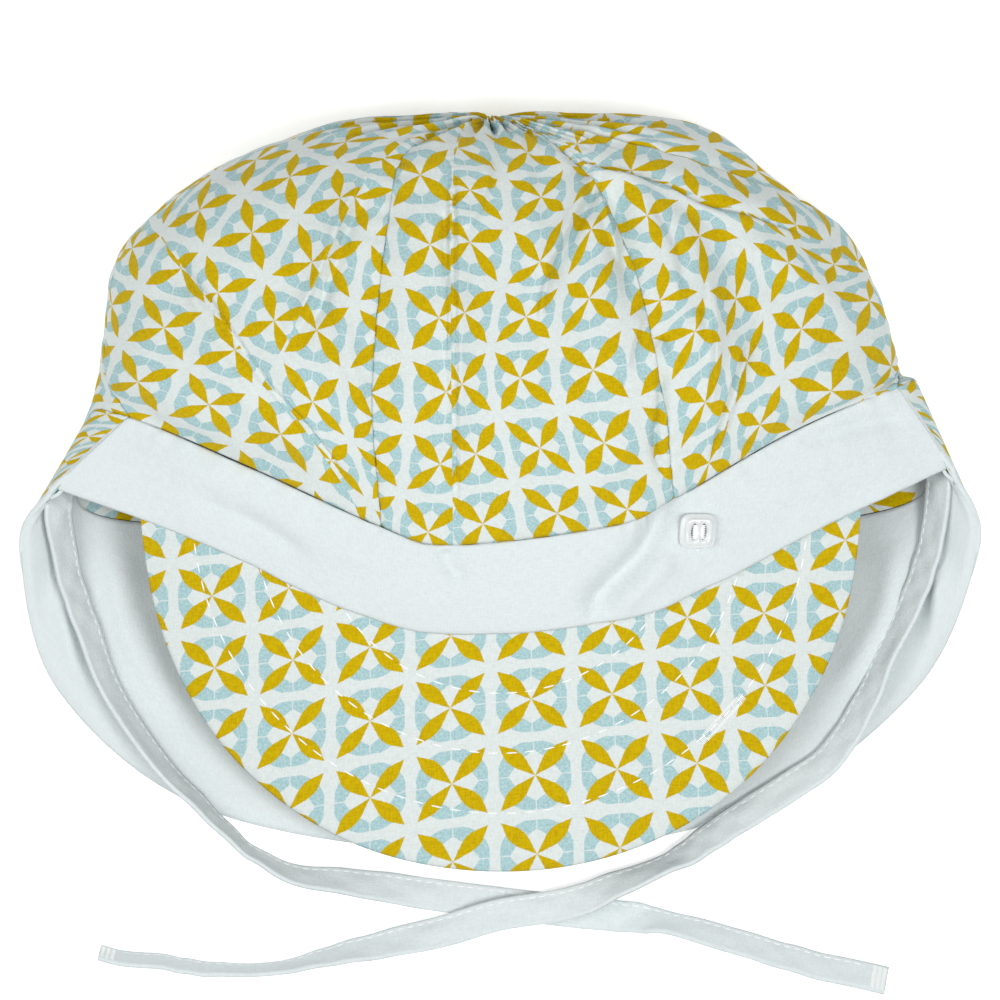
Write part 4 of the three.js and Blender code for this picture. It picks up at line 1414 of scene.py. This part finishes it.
BUTTON_THREAD_END = (
    ((-0.6, -4.3, 0.3), (0.4, -5.1, 0.35)),
    ((0.2, -5.1, 0.35), (1.0, -4.8, 0.35)),
    ((0.3, -4.4, 0.3), (0.9, -5.2, 0.3)),
)


class HAT_OT_button(bpy.types.Operator):
    """Make the clear square button with two upright oval holes, and the thread that holds it"""

    bl_idname = "hat.button"
    bl_label = "Button"

    def execute(self, context):
        relief = partial(band_relief, context.scene.hat_cloth)
        bm, points, _ = cloth_grid(band_form, BAND_REACH, (0, 1), BUTTON_GRID, relief)
        bm.free()
        places = BUTTON_PLACE + np.array([(0, 0), (BUTTON_REACH, 0), (0, BUTTON_REACH)])
        middle, right, up = read_at(places, points, points)
        across = unit(right - middle)
        out = unit(np.cross(across, up - middle))
        turn = Matrix(np.column_stack([across, np.cross(out, across), out])).to_4x4()
        place = Matrix.Translation(middle * MM) @ turn
        self.add_body(place)
        self.add_thread(place, context.scene.hat_trim)
        return {"FINISHED"}

    def add_ring(self, bm, width, depth, height, squareness, centre=(0, 0)):
        """Adds the edges of one rounded outline."""
        ring = bmesh.ops.create_circle(bm, segments=BUTTON_SIDES, radius=1.0)["verts"]
        for vert in ring:
            reach = (abs(vert.co.x) ** squareness + abs(vert.co.y) ** squareness) ** (1 / squareness)
            x = vert.co.x / reach * width / 2 + centre[0]
            y = vert.co.y / reach * depth / 2 + centre[1]
            vert.co = Vector((x, y, height)) * MM
        return list(dict.fromkeys(edge for vert in ring for edge in vert.link_edges))

    def add_body(self, place):
        bm = bmesh.new()
        rings = [self.add_ring(bm, *ring) for ring in BUTTON_RINGS]
        for lower, upper in zip(rings, rings[1:]):
            bmesh.ops.bridge_loops(bm, edges=lower + upper)
        ends = []
        for height in (BUTTON_RINGS[0][2], BUTTON_RINGS[-1][2]):
            ends.append([self.add_ring(bm, *BUTTON_HOLE_SIZE, height, BUTTON_HOLE_SQUARENESS, centre)
                         for centre in BUTTON_HOLES])
        for lower, upper in zip(*ends):
            bmesh.ops.bridge_loops(bm, edges=lower + upper)
        for outline, holes in zip((rings[0], rings[-1]), ends):
            bmesh.ops.triangle_fill(bm, use_beauty=True, edges=outline + holes[0] + holes[1])
        bmesh.ops.recalc_face_normals(bm, faces=bm.faces)
        bmesh.ops.transform(bm, matrix=place, verts=bm.verts)
        finish = finish_named("clear_acrylic", make_clear_plastic)
        button = finish_piece(bm, "square_button", finish)
        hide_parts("button")

    def add_thread(self, place, settings):
        """Strands of thread through the button's holes, and their loose end under it."""
        face = BUTTON_RINGS[-1][2] - BUTTON_STRAND_SINK
        stitches = []
        for strand in range(BUTTON_STRANDS):
            height = (strand - (BUTTON_STRANDS - 1) / 2) * BUTTON_STRAND_GAP
            ends = [(side * BUTTON_STRAND_REACH, height, face) for side in (-1, 1)]
            stitches.append((ends, BUTTON_STRAND))
        for ends in BUTTON_THREAD_END:
            stitches.append((ends, settings.stitch_width))
        bm = bmesh.new()
        out = np.array(place.to_3x3() @ Vector((0, 0, 1)))
        for ends, width in stitches:
            start, end = (np.array(place @ (Vector(spot) * MM)) / MM for spot in ends)
            add_stitch(bm, start, end, out, width)
        finish_stitches(bm, "button_thread")


class HAT_PT_panel(bpy.types.Panel):
    """Lists the hat's pieces in the order they are made"""

    bl_idname = "HAT_PT_panel"
    bl_label = "Baby Sun Hat"
    bl_space_type = "VIEW_3D"
    bl_region_type = "UI"
    bl_category = "Sun Hat"

    def draw(self, context):
        for operator in OPERATORS:
            self.layout.operator(operator.bl_idname)
        for group_name in GROUPS:
            group = getattr(context.scene, group_name)
            box = self.layout.box()
            for name in group.__annotations__:
                box.prop(group, name)


OPERATORS = (HAT_OT_stage, HAT_OT_ties, HAT_OT_crown, HAT_OT_band, HAT_OT_peak, HAT_OT_flap, HAT_OT_button)
GROUPS = {"hat_cloth": HatCloth, "hat_print": HatPrint, "hat_trim": HatTrim, "hat_stage": HatStage}


def register():
    for group in GROUPS.values():
        bpy.utils.register_class(group)
    for name, group in GROUPS.items():
        setattr(bpy.types.Scene, name, PointerProperty(type=group))
    for operator in OPERATORS:
        bpy.utils.register_class(operator)
    bpy.utils.register_class(HAT_PT_panel)


def unregister():
    bpy.utils.unregister_class(HAT_PT_panel)
    for operator in reversed(OPERATORS):
        bpy.utils.unregister_class(operator)
    for name, group in GROUPS.items():
        delattr(bpy.types.Scene, name)
        bpy.utils.unregister_class(group)


def main():
    register()
    bpy.ops.hat.stage()
    bpy.ops.hat.ties()
    bpy.ops.hat.crown()
    bpy.ops.hat.band()
    bpy.ops.hat.peak()
    bpy.ops.hat.flap()
    bpy.ops.hat.button()


if __name__ == "__main__":
    main()
